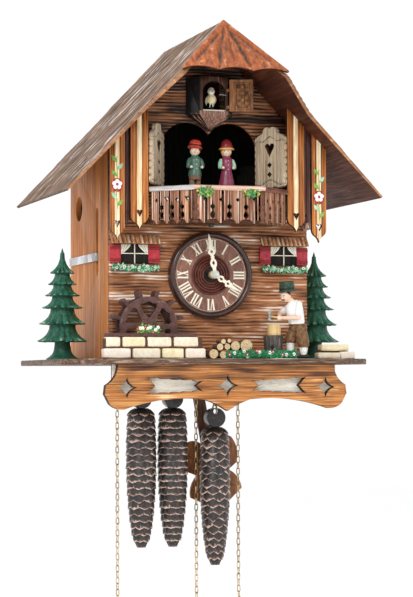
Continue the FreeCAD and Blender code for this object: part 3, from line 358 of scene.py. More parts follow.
class Shape:
    """A mesh in design millimetres; each face takes the current paint, a number of a material."""

    def __init__(self):
        self.points = []
        self.faces = []
        self.paints = []
        self.tones = []
        self.paint = 0
        self.tone = 0.5

    def add_points(self, points):
        first = len(self.points)
        self.points.extend(Vector(p) for p in points)
        self.tones.extend([self.tone] * (len(self.points) - first))
        return first

    def add_face(self, *corners):
        self.faces.append(corners)
        self.paints.append(self.paint)

    def rings(self, rings, closed=True, caps=True):
        """Quads between rings of the same number of points."""
        n = len(rings[0])
        first = self.add_points([p for ring in rings for p in ring])
        for i in range(len(rings) - 1):
            a = first + i * n
            for j in range(n if closed else n - 1):
                k = (j + 1) % n
                self.add_face(a + j, a + k, a + n + k, a + n + j)
        if caps:
            last = first + (len(rings) - 1) * n
            self.add_face(*[first + j for j in reversed(range(n))])
            self.add_face(*[last + j for j in range(n)])

    def lathe(self, profile, where, n=24):
        """A profile of (radius, height) turned about the local Z of a frame."""
        self.rings([[where @ Vector((x, y, h)) for x, y in circle(max(r, 0.02), n)] for r, h in profile])

    def tube(self, path, radius, n=8, closed=False, flat=1.0, side=None):
        """A tube along points; radius is a number or one per point."""
        path = [Vector(p) for p in path]
        m = len(path)
        sizes = radius if hasattr(radius, "__len__") else [radius] * m
        rings = []
        across = Vector(side) if side else None
        for i, p in enumerate(path):
            back = path[i - 1] if i or closed else p
            ahead = path[(i + 1) % m] if i + 1 < m or closed else p
            along = (ahead - back).normalized()
            if across is None:
                across = along.orthogonal()
            across = (across - along * across.dot(along)).normalized()
            over = along.cross(across)
            rings.append([p + across * x + over * (y * flat) for x, y in circle(sizes[i], n)])
        if closed:
            rings.append(rings[0])
        self.rings(rings, caps=not closed)

    def blob(self, centre, radii, n=16, power=1.0):
        """An ellipsoid, squarer as power falls below 1."""
        def curved(v):
            return math.copysign(abs(v) ** power, v)
        rings = []
        rows = max(6, n // 2)
        for i in range(rows + 1):
            a = math.pi * (0.02 + 0.96 * i / rows) - math.pi / 2
            ring = []
            for x, y in circle(1.0, n):
                p = Vector((curved(x) * curved(math.cos(a)) * radii[0],
                            curved(y) * curved(math.cos(a)) * radii[1],
                            curved(math.sin(a)) * radii[2]))
                ring.append(Vector(centre) + p)
            rings.append(ring)
        self.rings(rings)

    def block(self, lows, highs, power=0.22, n=20):
        centre = [(a + b) / 2 for a, b in zip(lows, highs)]
        self.blob(centre, [(b - a) / 2 for a, b in zip(lows, highs)], n=n, power=power)

    def prism(self, loops, w0, w1, where):
        """A flat board with holes: loops of (u, v) in a local frame, from w0 to w1."""
        flat = [p for loop in loops for p in loop]
        back = self.add_points([where @ Vector((u, v, w0)) for u, v in flat])
        face = self.add_points([where @ Vector((u, v, w1)) for u, v in flat])
        for tri in tessellate_polygon([[Vector((u, v, 0)) for u, v in loop] for loop in loops]):
            self.add_face(*[face + i for i in tri])
            self.add_face(*[back + i for i in reversed(tri)])
        start = 0
        for loop in loops:
            n = len(loop)
            for i in range(n):
                j = start + (i + 1) % n
                self.add_face(back + start + i, back + j, face + j, face + start + i)
            start += n

    def patch(self, rows, columns, surface):
        """An open grid of points, where surface(i, j) gives a point."""
        first = self.add_points([surface(i, j) for i in range(rows) for j in range(columns)])
        for i in range(rows - 1):
            for j in range(columns - 1):
                a = first + i * columns + j
                self.add_face(a, a + 1, a + columns + 1, a + columns)

    def mesh(self, name="shape", recalculate=True):
        mesh = bpy.data.meshes.new(name)
        mesh.from_pydata([at(p) for p in self.points], [], self.faces)
        mesh.polygons.foreach_set("material_index", self.paints)
        mesh.attributes.new("tone", "FLOAT", "POINT").data.foreach_set("value", self.tones)
        work = bmesh.new()
        work.from_mesh(mesh)
        bmesh.ops.remove_doubles(work, verts=work.verts, dist=1e-7)
        if recalculate:
            bmesh.ops.recalc_face_normals(work, faces=work.faces)
        work.to_mesh(mesh)
        work.free()
        return mesh


def applied(mesh, *modifiers):
    """The mesh with these modifiers applied: each is its kind and its settings."""
    scratch = bpy.data.objects.new("scratch", mesh)
    bpy.context.scene.collection.objects.link(scratch)
    for kind, settings in modifiers:
        added = scratch.modifiers.new(kind, kind)
        for key, value in settings.items():
            setattr(added, key, value)
    bpy.context.view_layer.update()
    made = bpy.data.meshes.new_from_object(scratch.evaluated_get(bpy.context.evaluated_depsgraph_get()))
    bpy.data.objects.remove(scratch)
    return made


def rounded(width, segments=2, angle=40.0):
    return ("BEVEL", {"width": width * MM, "segments": segments, "limit_method": "ANGLE",
                      "angle_limit": math.radians(angle), "harden_normals": False})


def piece(name, mesh, finishes, body="clock", stands_for=(), sharp=38.0):
    """Put a finished mesh on its body; the CAD nodes that it stands for are no longer shown."""
    mesh.name = name
    paints = [face.material_index for face in mesh.polygons]
    mesh.materials.clear()
    for recipe in finishes:
        mesh.materials.append(finish(recipe))
    mesh.polygons.foreach_set("material_index", paints)
    mesh.polygons.foreach_set("use_smooth", [True] * len(mesh.polygons))
    mesh.set_sharp_from_angle(angle=math.radians(sharp))
    made = bpy.data.objects.new(name, mesh)
    bpy.context.scene.collection.objects.link(made)
    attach(made, body)
    if stands_for:
        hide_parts(*stands_for)
    return made


def node_mesh(node):
    """A welded copy of a CAD node's mesh, with flat stretches joined into single faces."""
    work = bmesh.new()
    work.from_mesh(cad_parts[node].data)
    bmesh.ops.remove_doubles(work, verts=work.verts, dist=2e-6)
    bmesh.ops.dissolve_limit(work, angle_limit=math.radians(0.5), verts=work.verts, edges=work.edges)
    mesh = bpy.data.meshes.new(node)
    work.to_mesh(mesh)
    work.free()
    return mesh


def softened(name, node, finishes, width, body="clock"):
    """A CAD node with its edges rounded off."""
    mesh = applied(node_mesh(node), rounded(width))
    return piece(name, mesh, finishes, body, [node])


def slab(shape, where, us, vs, surface, back=30.0):
    """A closed block whose front is carved: surface(u, v) gives (u, v, depth below the frame's plane)."""
    rows, columns = len(us), len(vs)
    tops = []
    for u in us:
        for v in vs:
            x, y, depth = surface(u, v)
            tops.append(where @ Vector((x, y, -depth)))
    first = shape.add_points(tops)
    base = shape.add_points([where @ Vector((*surface(u, v)[:2], -back)) for u in us for v in vs])

    def top(i, j):
        return first + i * columns + j

    def under(i, j):
        return base + i * columns + j
    for i in range(rows - 1):
        for j in range(columns - 1):
            shape.add_face(top(i, j), top(i + 1, j), top(i + 1, j + 1), top(i, j + 1))
            shape.add_face(under(i, j), under(i, j + 1), under(i + 1, j + 1), under(i + 1, j))
    for i in range(rows - 1):
        shape.add_face(top(i, 0), under(i, 0), under(i + 1, 0), top(i + 1, 0))
        shape.add_face(top(i, columns - 1), top(i + 1, columns - 1), under(i + 1, columns - 1),
                       under(i, columns - 1))
    for j in range(columns - 1):
        shape.add_face(top(0, j), top(0, j + 1), under(0, j + 1), under(0, j))
        shape.add_face(top(rows - 1, j), under(rows - 1, j), under(rows - 1, j + 1), top(rows - 1, j + 1))


def carved(board, blocks):
    """What a board and the carved blocks have in common: the board with its front carved."""
    tool = bpy.data.objects.new("tool", blocks.mesh("tool"))
    bpy.context.scene.collection.objects.link(tool)
    made = applied(board, ("BOOLEAN", {"operation": "INTERSECT", "solver": "EXACT", "object": tool}))
    bpy.data.objects.remove(tool)
    return made


def toned(mesh, tone):
    """Set each vertex's tone, from 0 for dark to 1 for pale, from its place in mm: staining and wear, on some
    pieces also painted shade and highlight.
    """
    layer = mesh.attributes.get("tone") or mesh.attributes.new("tone", "FLOAT", "POINT")
    layer.data.foreach_set("value", [max(0.0, min(1.0, tone(design(v.co)))) for v in mesh.vertices])
    return mesh


def repaint(mesh, choose):
    """Give each face the material that choose(centre, normal) picks, or leave it where that is None."""
    for face in mesh.polygons:
        paint = choose(design(face.center), face.normal)
        if paint is not None:
            face.material_index = paint
    return mesh


def spread(a, b, n):
    return [a + (b - a) * i / (n - 1) for i in range(n)]


# ---- chains --------------------------------------------------------------------------------------------
CHAIN_Y = mid("time_chain_free").y
LINK_PITCH = 6.2
LINK_WIRE = 0.55
TRAINS = ("time", "strike", "music")


def hank_points(x, y, top, bottom):
    """Control points of the folded chain: nested turns in two layers, outermost first and last."""
    halves = (19.3, 14.0, 8.7)
    layers = (x - 3.0, x + 3.0)
    runs = [(layers[0], -1, 0), (layers[0], 1, 0), (layers[0], -1, 1), (layers[0], 1, 1), (layers[0], -1, 2),
            (layers[0], 1, 2), (layers[1], -1, 2), (layers[1], 1, 2), (layers[1], -1, 1), (layers[1], 1, 1),
            (layers[1], -1, 0)]
    points = []
    for i, (layer, side, ring) in enumerate(runs):
        half = halves[ring]
        foot = bottom + 2.6 + 5.3 * ring
        head = top - 5.6 - 5.3 * ring
        across = y + side * half
        run = [(layer, across, head), (layer, across, head - half), (layer, across, foot + half),
               (layer, across, foot)]
        if i == 0:
            run = run[1:]
        points += run if side < 0 else run[::-1]
    points[-1] = (x + 1.5, y - halves[0] + 2.0, bottom + 6.0)
    points += [(x, y - 3.0, bottom + 3.0), (x, y, bottom + 0.6)]
    return points


def chain_route(name):
    """Straight down from the sprocket, then into the hank."""
    free = mid(name + "_chain_free")
    start = high(name + "_chain_free").z
    lows, highs = low(name + "_chain_hank"), high(name + "_chain_hank")
    middle = (lows + highs) / 2
    head = [(free.x, CHAIN_Y, start), (free.x, CHAIN_Y, start - 130.0), (free.x, CHAIN_Y, highs.z + 40.0),
            (free.x, CHAIN_Y, highs.z + 14.0)]
    return head + hank_points(middle.x, CHAIN_Y, highs.z, lows.z)


def spline_line(points):
    """The smooth line that a NURBS curve draws through its control points, in millimetres."""
    data = bpy.data.curves.new("route", "CURVE")
    data.dimensions = "3D"
    data.resolution_u = 8
    spline = data.splines.new("NURBS")
    spline.points.add(len(points) - 1)
    for knot, p in zip(spline.points, points):
        knot.co = (*at(p), 1.0)
    spline.order_u = 3
    spline.use_endpoint_u = True
    scratch = bpy.data.objects.new("route", data)
    mesh = bpy.data.meshes.new_from_object(scratch)
    line = [v.co.copy() for v in mesh.vertices]
    bpy.data.objects.remove(scratch)
    return line


def chain_links(shape, line):
    """Oval wire links along a line, each turned a quarter against the last."""
    long, wide = LINK_PITCH / 2 + 0.5, 1.65
    oval = []
    for t in range(12):
        a = 2 * math.pi * (t + 0.5) / 12
        straight = long - wide
        oval.append((wide * math.sin(a), wide * math.cos(a) + math.copysign(straight, math.cos(a))))
    along = [0.0]
    for a, b in zip(line, line[1:]):
        along.append(along[-1] + (b - a).length)
    side = Vector((0.7071, 0.7071, 0.0))
    step = 0
    count = int(along[-1] / LINK_PITCH)
    for k in range(count):
        spot = (k + 0.5) * LINK_PITCH
        while along[step + 1] < spot:
            step += 1
        t = (spot - along[step]) / max(along[step + 1] - along[step], 1e-9)
        centre = line[step].lerp(line[step + 1], t)
        tangent = (line[step + 1] - line[step]).normalized()
        side = (side - tangent * side.dot(tangent)).normalized()
        other = tangent.cross(side)
        flat = side if k % 2 else other
        shape.tube([centre + flat * u + tangent * v for u, v in oval], LINK_WIRE, 5, closed=True,
                   side=tuple(other if k % 2 else side))


def hank_tie(name):
    """The wire band that holds the folded chain."""
    lows, highs = low(name + "_chain_hank"), high(name + "_chain_hank")
    z = (lows.z + highs.z) / 2 + 8.0
    shape = Shape()
    for turn in range(3):
        ring = []
        for x, y in circle(1.0, 28, 0.11):
            power = 0.35
            ring.append(((lows.x + highs.x) / 2 + math.copysign(abs(x) ** power, x) * 5.6,
                         (lows.y + highs.y) / 2 + math.copysign(abs(y) ** power, y) * 21.4, z + 1.1 * turn))
        shape.tube(ring, 0.45, 6, closed=True, side=(0, 0, 1))
    return piece(name + "_hank_tie", shape.mesh(), ["brass_wire"], name + "_chain")


def make_chains():
    for name in TRAINS:
        line = spline_line(chain_route(name))
        shape = Shape()
        chain_links(shape, [design(p) for p in line])
        chain = piece(name + "_chain", shape.mesh(), ["brass"], name + "_chain",
                      [name + "_chain_free", name + "_chain_hank"])
        tie = hank_tie(name)


# ---- finishes ------------------------------------------------------------------------------------------
def board_bands(f):
    """Orange rails beside a cream stripe on the drop boards, by distance from the middle of the clock."""
    across = f.math("ABSOLUTE", f.axis("X"))
    plain, flowered = (BOARD_X["plain"] * MM, BOARD_X["flowered"] * MM)
    near = f.math("ABSOLUTE", f.math("SUBTRACT", across, plain))
    far = f.math("ABSOLUTE", f.math("SUBTRACT", across, flowered))
    return f.ramp(f.math("MULTIPLY", f.math("MINIMUM", near, far), 1.0 / (10.0 * MM)),
                  [(0.0, (1.9, 4.6, 14.0)), (0.23, (1.8, 4.2, 12.0)), (0.28, (0.6, 0.42, 0.35)),
                   (0.36, (1.0, 1.0, 1.0))])


def rail_bands(f):
    """Pale, orange and mauve slats side by side."""
    slats = f.noise(f.coords((2.6, 2.6, 400.0)), 1.0, 0.5)
    return f.ramp(slats, [(0.3, (0.6, 0.5, 0.55)), (0.45, (1.0, 1.0, 1.0)), (0.55, (1.5, 2.0, 2.6)),
                          (0.7, (0.8, 0.6, 0.5))])


def log_end(name):
    """Sawn ends: pale wood with a darker middle."""
    f = Finish(name, 0.6)
    ring = f.noise(f.coords((2.4, 30.0, 2.4)), 5.0, 0.6, 1.6)
    colour = f.ramp(ring, [(0.3, (0.42, 0.24, 0.1)), (0.5, (0.7, 0.52, 0.3)), (0.7, (0.82, 0.68, 0.46))])
    return f.done(colour, ring, 0.15)


TURN = math.atan2(high("roof_right").z - low("roof_right").z, high("roof_right").x - low("roof_right").x)
BOARD_X = {"plain": 85.6, "flowered": 110.2}

RECIPES = {
    # Siding: its pale top colour is partly wear on the rib crests, partly painted highlight; its dark colour
    # is staining between the ribs and painted shade under the roof.
    "siding": lambda n: wood(n, (0.12, 0.035, 0.012), (0.42, 0.155, 0.056), (0.68, 0.37, 0.18),
                             (50.0, 3.0, 1.3),
                             toned=True, worn=(0.95, 0.85, 0.74), stain_and_shade=(0.025, 0.009, 0.006), gloss=0.45,
                             coat=0.12),
    "side": lambda n: wood(n, (0.36, 0.1, 0.018), (0.6, 0.2, 0.045), (0.76, 0.36, 0.12), (2.4, 2.4, 60.0),
                           gloss=0.5),
    "roof_right": lambda n: wood(n, (0.085, 0.045, 0.028), (0.2, 0.115, 0.07), (0.42, 0.3, 0.22),
                                 (90.0, 1.6, 4.0),
                                 (0.0, TURN, 0.0), toned=True, worn=(0.82, 0.78, 0.74), gloss=0.5),
    # A slightly paler copy of roof_right: painted light on the slope turned towards the key lamp.
    "roof_left": lambda n: wood(n, (0.085, 0.045, 0.028), (0.22, 0.125, 0.075), (0.45, 0.33, 0.25),
                                (90.0, 1.6, 4.0),
                                (0.0, -TURN, 0.0), toned=True, worn=(0.85, 0.81, 0.77), gloss=0.5),
    "roof_under": lambda n: wood(n, (0.03, 0.008, 0.004), (0.085, 0.022, 0.01), (0.16, 0.05, 0.024),
                                 (3.0, 60.0, 3.0),
                                 gloss=0.55),
    "roof_edge": lambda n: wood(n, (0.2, 0.075, 0.03), (0.36, 0.16, 0.07), (0.55, 0.3, 0.15),
                                (20.0, 3.0, 8.0), gloss=0.45),
    "hip": lambda n: wood(n, (0.16, 0.03, 0.006), (0.36, 0.085, 0.016), (0.52, 0.16, 0.036), (5.0, 5.0, 40.0),
                          toned=True,
                          worn=(0.85, 0.5, 0.28), gloss=0.38, coat=0.12),
    "frieze": lambda n: wood(n, (0.14, 0.036, 0.01), (0.48, 0.17, 0.036), (0.8, 0.45, 0.17), (60.0, 6.0, 1.1),
                             toned=True,
                             worn=(0.95, 0.72, 0.42), stain_and_shade=(0.06, 0.018, 0.008), gloss=0.4, coat=0.12),
    # Dark edge wood: partly burned edges of the cut boards, partly painted shade in the piercings and on the
    # backing's hidden ends.
    "burnt": lambda n: wood(n, (0.018, 0.008, 0.005), (0.05, 0.02, 0.011), (0.11, 0.05, 0.026),
                            (6.0, 6.0, 6.0), gloss=0.5),
    "drop": lambda n: wood(n, (0.28, 0.07, 0.014), (0.5, 0.155, 0.03), (0.66, 0.28, 0.075), (2.2, 2.2, 50.0),
                           toned=True,
                           worn=(0.94, 0.8, 0.6), gloss=0.42, bands=board_bands),
    "drop_dark": lambda n: wood(n, (0.05, 0.02, 0.02), (0.13, 0.055, 0.05), (0.34, 0.2, 0.17),
                                (1.3, 1.3, 60.0), toned=True,
                                worn=(0.62, 0.45, 0.38), gloss=0.4),
    "return": lambda n: wood(n, (0.34, 0.2, 0.15), (0.6, 0.42, 0.33), (0.8, 0.66, 0.55), (2.0, 3.0, 30.0),
                             gloss=0.45),
    "shutter": lambda n: wood(n, (0.3, 0.2, 0.12), (0.52, 0.4, 0.27), (0.72, 0.62, 0.47), (1.6, 1.6, 45.0),
                              toned=True,
                              worn=(0.9, 0.84, 0.74), stain_and_shade=(0.06, 0.035, 0.02), gloss=0.4),
    "rail": lambda n: wood(n, (0.14, 0.05, 0.024), (0.36, 0.14, 0.065), (0.58, 0.33, 0.19), (1.4, 1.4, 40.0),
                           toned=True,
                           worn=(0.88, 0.78, 0.7), stain_and_shade=(0.03, 0.012, 0.01), gloss=0.42, bands=rail_bands),
    # The top rail's three runs share one moulding: pale grey on the left run, pink on the front and dark
    # brown on the right, painted light and shade.
    "rail_grey": lambda n: wood(n, (0.3, 0.27, 0.25), (0.55, 0.52, 0.5), (0.8, 0.78, 0.76), (30.0, 30.0, 1.5),
                                gloss=0.3),
    "rail_pink": lambda n: wood(n, (0.42, 0.22, 0.16), (0.66, 0.43, 0.33), (0.8, 0.66, 0.58),
                                (40.0, 4.0, 1.5), gloss=0.3),
    "rail_brown": lambda n: wood(n, (0.09, 0.03, 0.02), (0.2, 0.075, 0.05), (0.36, 0.16, 0.11),
                                 (20.0, 20.0, 1.5), gloss=0.3),
    "awning": lambda n: wood(n, (0.34, 0.12, 0.045), (0.62, 0.28, 0.12), (0.8, 0.5, 0.28), (1.8, 6.0, 6.0),
                             toned=True,
                             worn=(0.95, 0.82, 0.64), stain_and_shade=(0.1, 0.035, 0.016), gloss=0.45),
    "dial_ridge": lambda n: wood(n, (0.05, 0.012, 0.009), (0.12, 0.032, 0.022), (0.2, 0.06, 0.04),
                                 (6.0, 6.0, 6.0), gloss=0.26,
                                 depth=0.04, coat=0.4),
    "pale_metal": lambda n: metal(n, (0.85, 0.86, 0.8), (0.6, 0.62, 0.55), 0.25),
    "bay": lambda n: wood(n, (0.045, 0.018, 0.01), (0.11, 0.045, 0.028), (0.24, 0.12, 0.075),
                          (2.0, 2.0, 30.0), toned=True,
                          worn=(0.6, 0.45, 0.32), gloss=0.4),
    "bracket": lambda n: wood(n, (0.13, 0.055, 0.035), (0.32, 0.16, 0.11), (0.55, 0.34, 0.26),
                              (1.6, 1.6, 30.0), toned=True,
                              worn=(0.85, 0.7, 0.6), gloss=0.4),
    "door": lambda n: wood(n, (0.13, 0.045, 0.015), (0.33, 0.13, 0.045), (0.5, 0.25, 0.11), (2.0, 2.0, 14.0),
                           toned=True,
                           worn=(0.75, 0.5, 0.28), gloss=0.4),
    "bird_wing": lambda n: painted(n, (0.3, 0.26, 0.16), (0.55, 0.5, 0.34), 2.5, 0.3, coat=0.3),
    "carousel": lambda n: painted(n, (0.02, 0.05, 0.035), (0.045, 0.09, 0.06), 7.0, 0.35),
    "leaf_wood": lambda n: wood(n, (0.13, 0.04, 0.01), (0.3, 0.1, 0.025), (0.48, 0.2, 0.06), (4.0, 4.0, 30.0),
                                toned=True,
                                worn=(0.75, 0.45, 0.22), gloss=0.35, coat=0.2),
    "stone_pink": lambda n: painted(n, (0.86, 0.73, 0.6), (0.93, 0.85, 0.75), 7.0, 0.6, 0.3, toned=True,
                                    worn=(0.97, 0.93, 0.86), stain_and_shade=(0.36, 0.2, 0.12)),
    "stone_yellow": lambda n: painted(n, (0.82, 0.7, 0.42), (0.92, 0.84, 0.6), 7.0, 0.55, 0.25, toned=True,
                                      worn=(0.95, 0.92, 0.8), stain_and_shade=(0.4, 0.27, 0.12)),
    "dark_wood": lambda n: wood(n, (0.04, 0.014, 0.008), (0.11, 0.04, 0.02), (0.2, 0.085, 0.045),
                                (3.0, 3.0, 30.0), gloss=0.35),
    # Near-black: painted shade on the case's inner faces, the back of the front wall, the back cover, the
    # bellows and the cuckoo's slide; also the black of the window panes.
    "inside": lambda n: wood(n, (0.006, 0.005, 0.004), (0.012, 0.009, 0.007), (0.024, 0.018, 0.013),
                             (3.0, 3.0, 50.0), gloss=0.8),
    "base": lambda n: wood(n, (0.03, 0.014, 0.009), (0.13, 0.07, 0.042), (0.4, 0.28, 0.2), (60.0, 3.0, 2.0),
                           toned=True,
                           worn=(0.9, 0.84, 0.76), stain_and_shade=(0.012, 0.006, 0.004), gloss=0.5),
    "cream_wood": lambda n: wood(n, (0.88, 0.79, 0.63), (0.98, 0.91, 0.78), (1.0, 0.96, 0.87),
                                 (30.0, 3.0, 2.0), gloss=0.6),
    "dial": lambda n: wood(n, (0.15, 0.06, 0.042), (0.25, 0.115, 0.08), (0.36, 0.19, 0.14), (2.4, 2.4, 9.0),
                           gloss=0.5,
                           depth=0.05),
    "dial_ring": lambda n: wood(n, (0.02, 0.008, 0.007), (0.045, 0.016, 0.012), (0.085, 0.03, 0.022),
                                (8.0, 8.0, 8.0),
                                gloss=0.2, depth=0.03, coat=0.6),
    "cream": lambda n: painted(n, (0.86, 0.78, 0.6), (0.92, 0.87, 0.74), 3.0, 0.35, 0.02),
    "brass": lambda n: metal(n, (0.72, 0.56, 0.33), (0.3, 0.22, 0.13), 0.28),
    "brass_wire": lambda n: metal(n, (0.8, 0.62, 0.34), (0.45, 0.33, 0.18), 0.25, 3.0),
    "plate_brass": lambda n: metal(n, (0.78, 0.6, 0.3), (0.5, 0.36, 0.17), 0.3, 14.0),
    "steel": lambda n: metal(n, (0.72, 0.72, 0.73), (0.34, 0.34, 0.35), 0.2, 18.0),
    # Iron: its pale top colour is partly rubbed metal, partly painted highlight on the cone scales; its
    # near-black low colour is painted shade where the scales tuck under each other.
    "iron": lambda n: painted(n, (0.006, 0.015, 0.017), (0.055, 0.032, 0.026), 4.0, 0.3, 0.15, toned=True,
                              worn=(0.84, 0.58, 0.48), stain_and_shade=(0.003, 0.006, 0.007), coat=0.3),
    "black": lambda n: painted(n, (0.008, 0.008, 0.009), (0.018, 0.016, 0.015), 5.0, 0.35),
    "red": lambda n: painted(n, (0.3, 0.014, 0.03), (0.46, 0.045, 0.06), 5.0, 0.42),
    "dark_red": lambda n: painted(n, (0.17, 0.012, 0.014), (0.28, 0.025, 0.025), 5.0, 0.32),
    "pink_red": lambda n: painted(n, (0.4, 0.018, 0.035), (0.54, 0.05, 0.06), 5.0, 0.42),
    "green": lambda n: painted(n, (0.02, 0.17, 0.075), (0.07, 0.34, 0.14), 3.0, 0.4),
    "leaf": lambda n: painted(n, (0.1, 0.3, 0.05), (0.33, 0.5, 0.12), 3.0, 0.4),
    "mint": lambda n: painted(n, (0.2, 0.5, 0.3), (0.52, 0.75, 0.56), 2.5, 0.4),
    "hedge": lambda n: painted(n, (0.01, 0.11, 0.05), (0.04, 0.26, 0.11), 2.2, 0.42, 0.3),
    "tree": lambda n: painted(n, (0.012, 0.085, 0.055), (0.04, 0.19, 0.11), 4.0, 0.4, 0.25, toned=True,
                              worn=(0.55, 0.68, 0.5), stain_and_shade=(0.004, 0.02, 0.016)),
    "white": lambda n: painted(n, (0.86, 0.84, 0.81), (0.95, 0.94, 0.92), 4.0, 0.5),
    "yellow": lambda n: painted(n, (0.75, 0.5, 0.06), (0.85, 0.68, 0.16), 2.0, 0.4),
    "stone": lambda n: painted(n, (0.8, 0.68, 0.5), (0.9, 0.83, 0.68), 7.0, 0.55, 0.25, toned=True,
                               worn=(0.95, 0.92, 0.84),
                               stain_and_shade=(0.4, 0.26, 0.14)),
    "mortar": lambda n: painted(n, (0.06, 0.028, 0.015), (0.12, 0.06, 0.03), 3.0, 0.7),
    "bark": lambda n: wood(n, (0.06, 0.035, 0.02), (0.17, 0.1, 0.055), (0.3, 0.2, 0.12), (2.5, 12.0, 2.5),
                           gloss=0.6,
                           depth=0.4),
    "log_end": log_end,
    "stump": lambda n: wood(n, (0.018, 0.015, 0.013), (0.07, 0.058, 0.05), (0.24, 0.21, 0.19),
                            (2.2, 2.2, 14.0), gloss=0.55,
                            depth=0.5),
    "billet": lambda n: wood(n, (0.45, 0.27, 0.1), (0.66, 0.45, 0.2), (0.8, 0.62, 0.36), (1.6, 1.6, 16.0),
                             gloss=0.5),
    "wheel": lambda n: painted(n, (0.065, 0.025, 0.02), (0.13, 0.058, 0.048), 4.0, 0.45, 0.2, toned=True,
                               worn=(0.52, 0.34, 0.29), stain_and_shade=(0.02, 0.008, 0.006)),
    "face": lambda n: painted(n, (0.82, 0.55, 0.4), (0.88, 0.64, 0.5), 6.0, 0.4),
    "face_doll": lambda n: painted(n, (0.86, 0.66, 0.48), (0.9, 0.74, 0.58), 6.0, 0.35),
    "cheek": lambda n: painted(n, (0.8, 0.28, 0.2), (0.86, 0.42, 0.3), 2.0, 0.4),
    "hat_red": lambda n: painted(n, (0.5, 0.035, 0.025), (0.66, 0.09, 0.05), 5.0, 0.28, coat=0.4),
    "hat_green": lambda n: painted(n, (0.008, 0.02, 0.012), (0.05, 0.1, 0.06), 2.0, 0.5, 0.1),
    "coat_green": lambda n: painted(n, (0.045, 0.13, 0.09), (0.11, 0.22, 0.16), 5.0, 0.32, coat=0.3),
    "trousers": lambda n: painted(n, (0.17, 0.09, 0.05), (0.3, 0.18, 0.11), 3.0, 0.35),
    "purple": lambda n: painted(n, (0.2, 0.02, 0.06), (0.34, 0.06, 0.12), 5.0, 0.28, coat=0.4),
    "blonde": lambda n: painted(n, (0.72, 0.32, 0.07), (0.85, 0.52, 0.16), 2.5, 0.35),
    "leather": lambda n: painted(n, (0.08, 0.035, 0.014), (0.27, 0.14, 0.06), 3.0, 0.5, 0.15),
    "bird": lambda n: painted(n, (0.86, 0.68, 0.3), (0.9, 0.82, 0.58), 3.0, 0.3, coat=0.3),
    "bird_head": lambda n: painted(n, (0.55, 0.6, 0.4), (0.84, 0.85, 0.72), 2.5, 0.3, coat=0.3),
    "grey": lambda n: painted(n, (0.14, 0.14, 0.14), (0.38, 0.38, 0.37), 3.0, 0.35),
}
made_finishes = {}


def finish(name):
    if name not in made_finishes:
        made_finishes[name] = RECIPES[name](name)
    return made_finishes[name]


# ---- carved boards -------------------------------------------------------------------------------------
def relief(name, node, where, us, vs, depth, finishes, tone, choose=None, body="clock", back=30.0):
    """A CAD board whose front is carved depth(u, v) mm deep, toned from (u, v, depth)."""
    blocks = Shape()
    slab(blocks, where, us, vs, lambda u, v: (u, v, depth(u, v) - 0.03), back)
    mesh = carved(node_mesh(node), blocks)
    inverse = where.inverted()

    def shade(p):
        u, v, w = inverse @ p
        return tone(u, v, -w)
    toned(mesh, shade)
    if choose:
        repaint(mesh, choose)
    return piece(name, mesh, finishes, body, [node])


def groove(t, sharp=2.0):
    """Depth from 0 to 1 across one bar of a ribbed board: a rounded crest between narrow valleys."""
    return abs(2.0 * (t % 1.0) - 1.0) ** sharp


def steps(a, b, pitch, per):
    """Evenly spaced lines that catch the crests and valleys of bars of a pitch."""
    count = int(math.ceil((b - a) / pitch * per))
    return [a + i * pitch / per for i in range(count + 1)]


SIDING = 3.55


def make_siding():
    top, foot = high("case_front_wall"), low("case_front_wall")

    def depth(u, v):
        drift = 0.45 * wobble(u, v, 3, 0.035)
        return 1.35 * groove(v / SIDING + drift, 2.4) + 0.25 * (1 + wobble(u, v * 3, 5, 0.06))

    def tone(u, v, d):
        if d > 1.9:
            return 0.3
        # Painted shade and light: the tone is lowered towards the top of the wall under the roof and raised
        # towards its foot; the pale rib crests are partly wear, partly painted highlight.
        shade = 0.14 * min(1.0, max(0.0, (140.0 - v) / 70.0)) - 0.26 * min(1.0, max(0.0, (v - 185.0) / 70.0))
        broad = 0.3 * wobble(u, v * 3.0, 4, 0.09)
        return 0.68 + shade - 0.42 * d + 0.6 * wobble(u, v * 6.0, 9, 0.022) + broad
    # The back of the front wall takes the near-black inside finish: painted shade inside the case.
    relief("front_siding", "case_front_wall", front(0.0), spread(foot.x - 2, top.x + 2, 30),
           steps(foot.z - 2 * SIDING, top.z + SIDING, SIDING, 5), depth, ["siding", "inside"], tone,
           lambda p, normal: 1 if normal.y > 0.5 else None)


def slope_frame(sign):
    """Frame of a roof board's outer face: origin at the ridge, v down the slope, w outwards."""
    node = "roof_right" if sign > 0 else "roof_left"
    down = Vector((sign * math.cos(TURN), 0.0, -math.sin(TURN)))
    return node, place((0.0, 0.0, high(node).z), (0, -sign, 0), down)


def make_roof():
    for sign in (-1, 1):
        node, where = slope_frame(sign)
        length = high("roof_right").x / math.cos(TURN)
        lo, hi = low(node).y, high(node).y
        us = steps(-hi - 4, -lo + 4, 3.7, 4) if sign > 0 else steps(lo - 4, hi + 4, 3.7, 4)

        def depth(u, v):
            drift = 0.9 * wobble(u * 0.4, v, 11 + sign, 0.012)
            course = ((v + 3.0 * wobble(u, v, 2, 0.05)) % 46.0) / 46.0
            return 0.95 * groove(u / 3.7 + drift,
                                 1.6) + 0.35 * (1.0 - course) + 0.3 * (1 + wobble(u, v, 6, 0.08))

        def tone(u, v, d):
            if d > 2.2:
                return 0.35
            streak = wobble(u * 7.0, v, 8, 0.03)
            return 0.67 - 0.3 * d + 0.62 * streak + 0.26 * wobble(u * 3, v, 17, 0.12)

        outward = Vector((sign * math.sin(TURN), 0.0, math.cos(TURN)))

        def choose(p, normal, outward=outward):
            if normal.dot(outward) < -0.7:
                return 1
            return 2 if normal.y < -0.6 else None
        relief(node, node, where, us, spread(-12.0, length + 14.0, 60), depth,
               [node, "roof_under", "roof_edge"], tone, choose)


HIP_APEX = Vector((0.0, -51.7, 350.7))
HIP_EDGE = Vector((0.0, -93.0, 294.3))


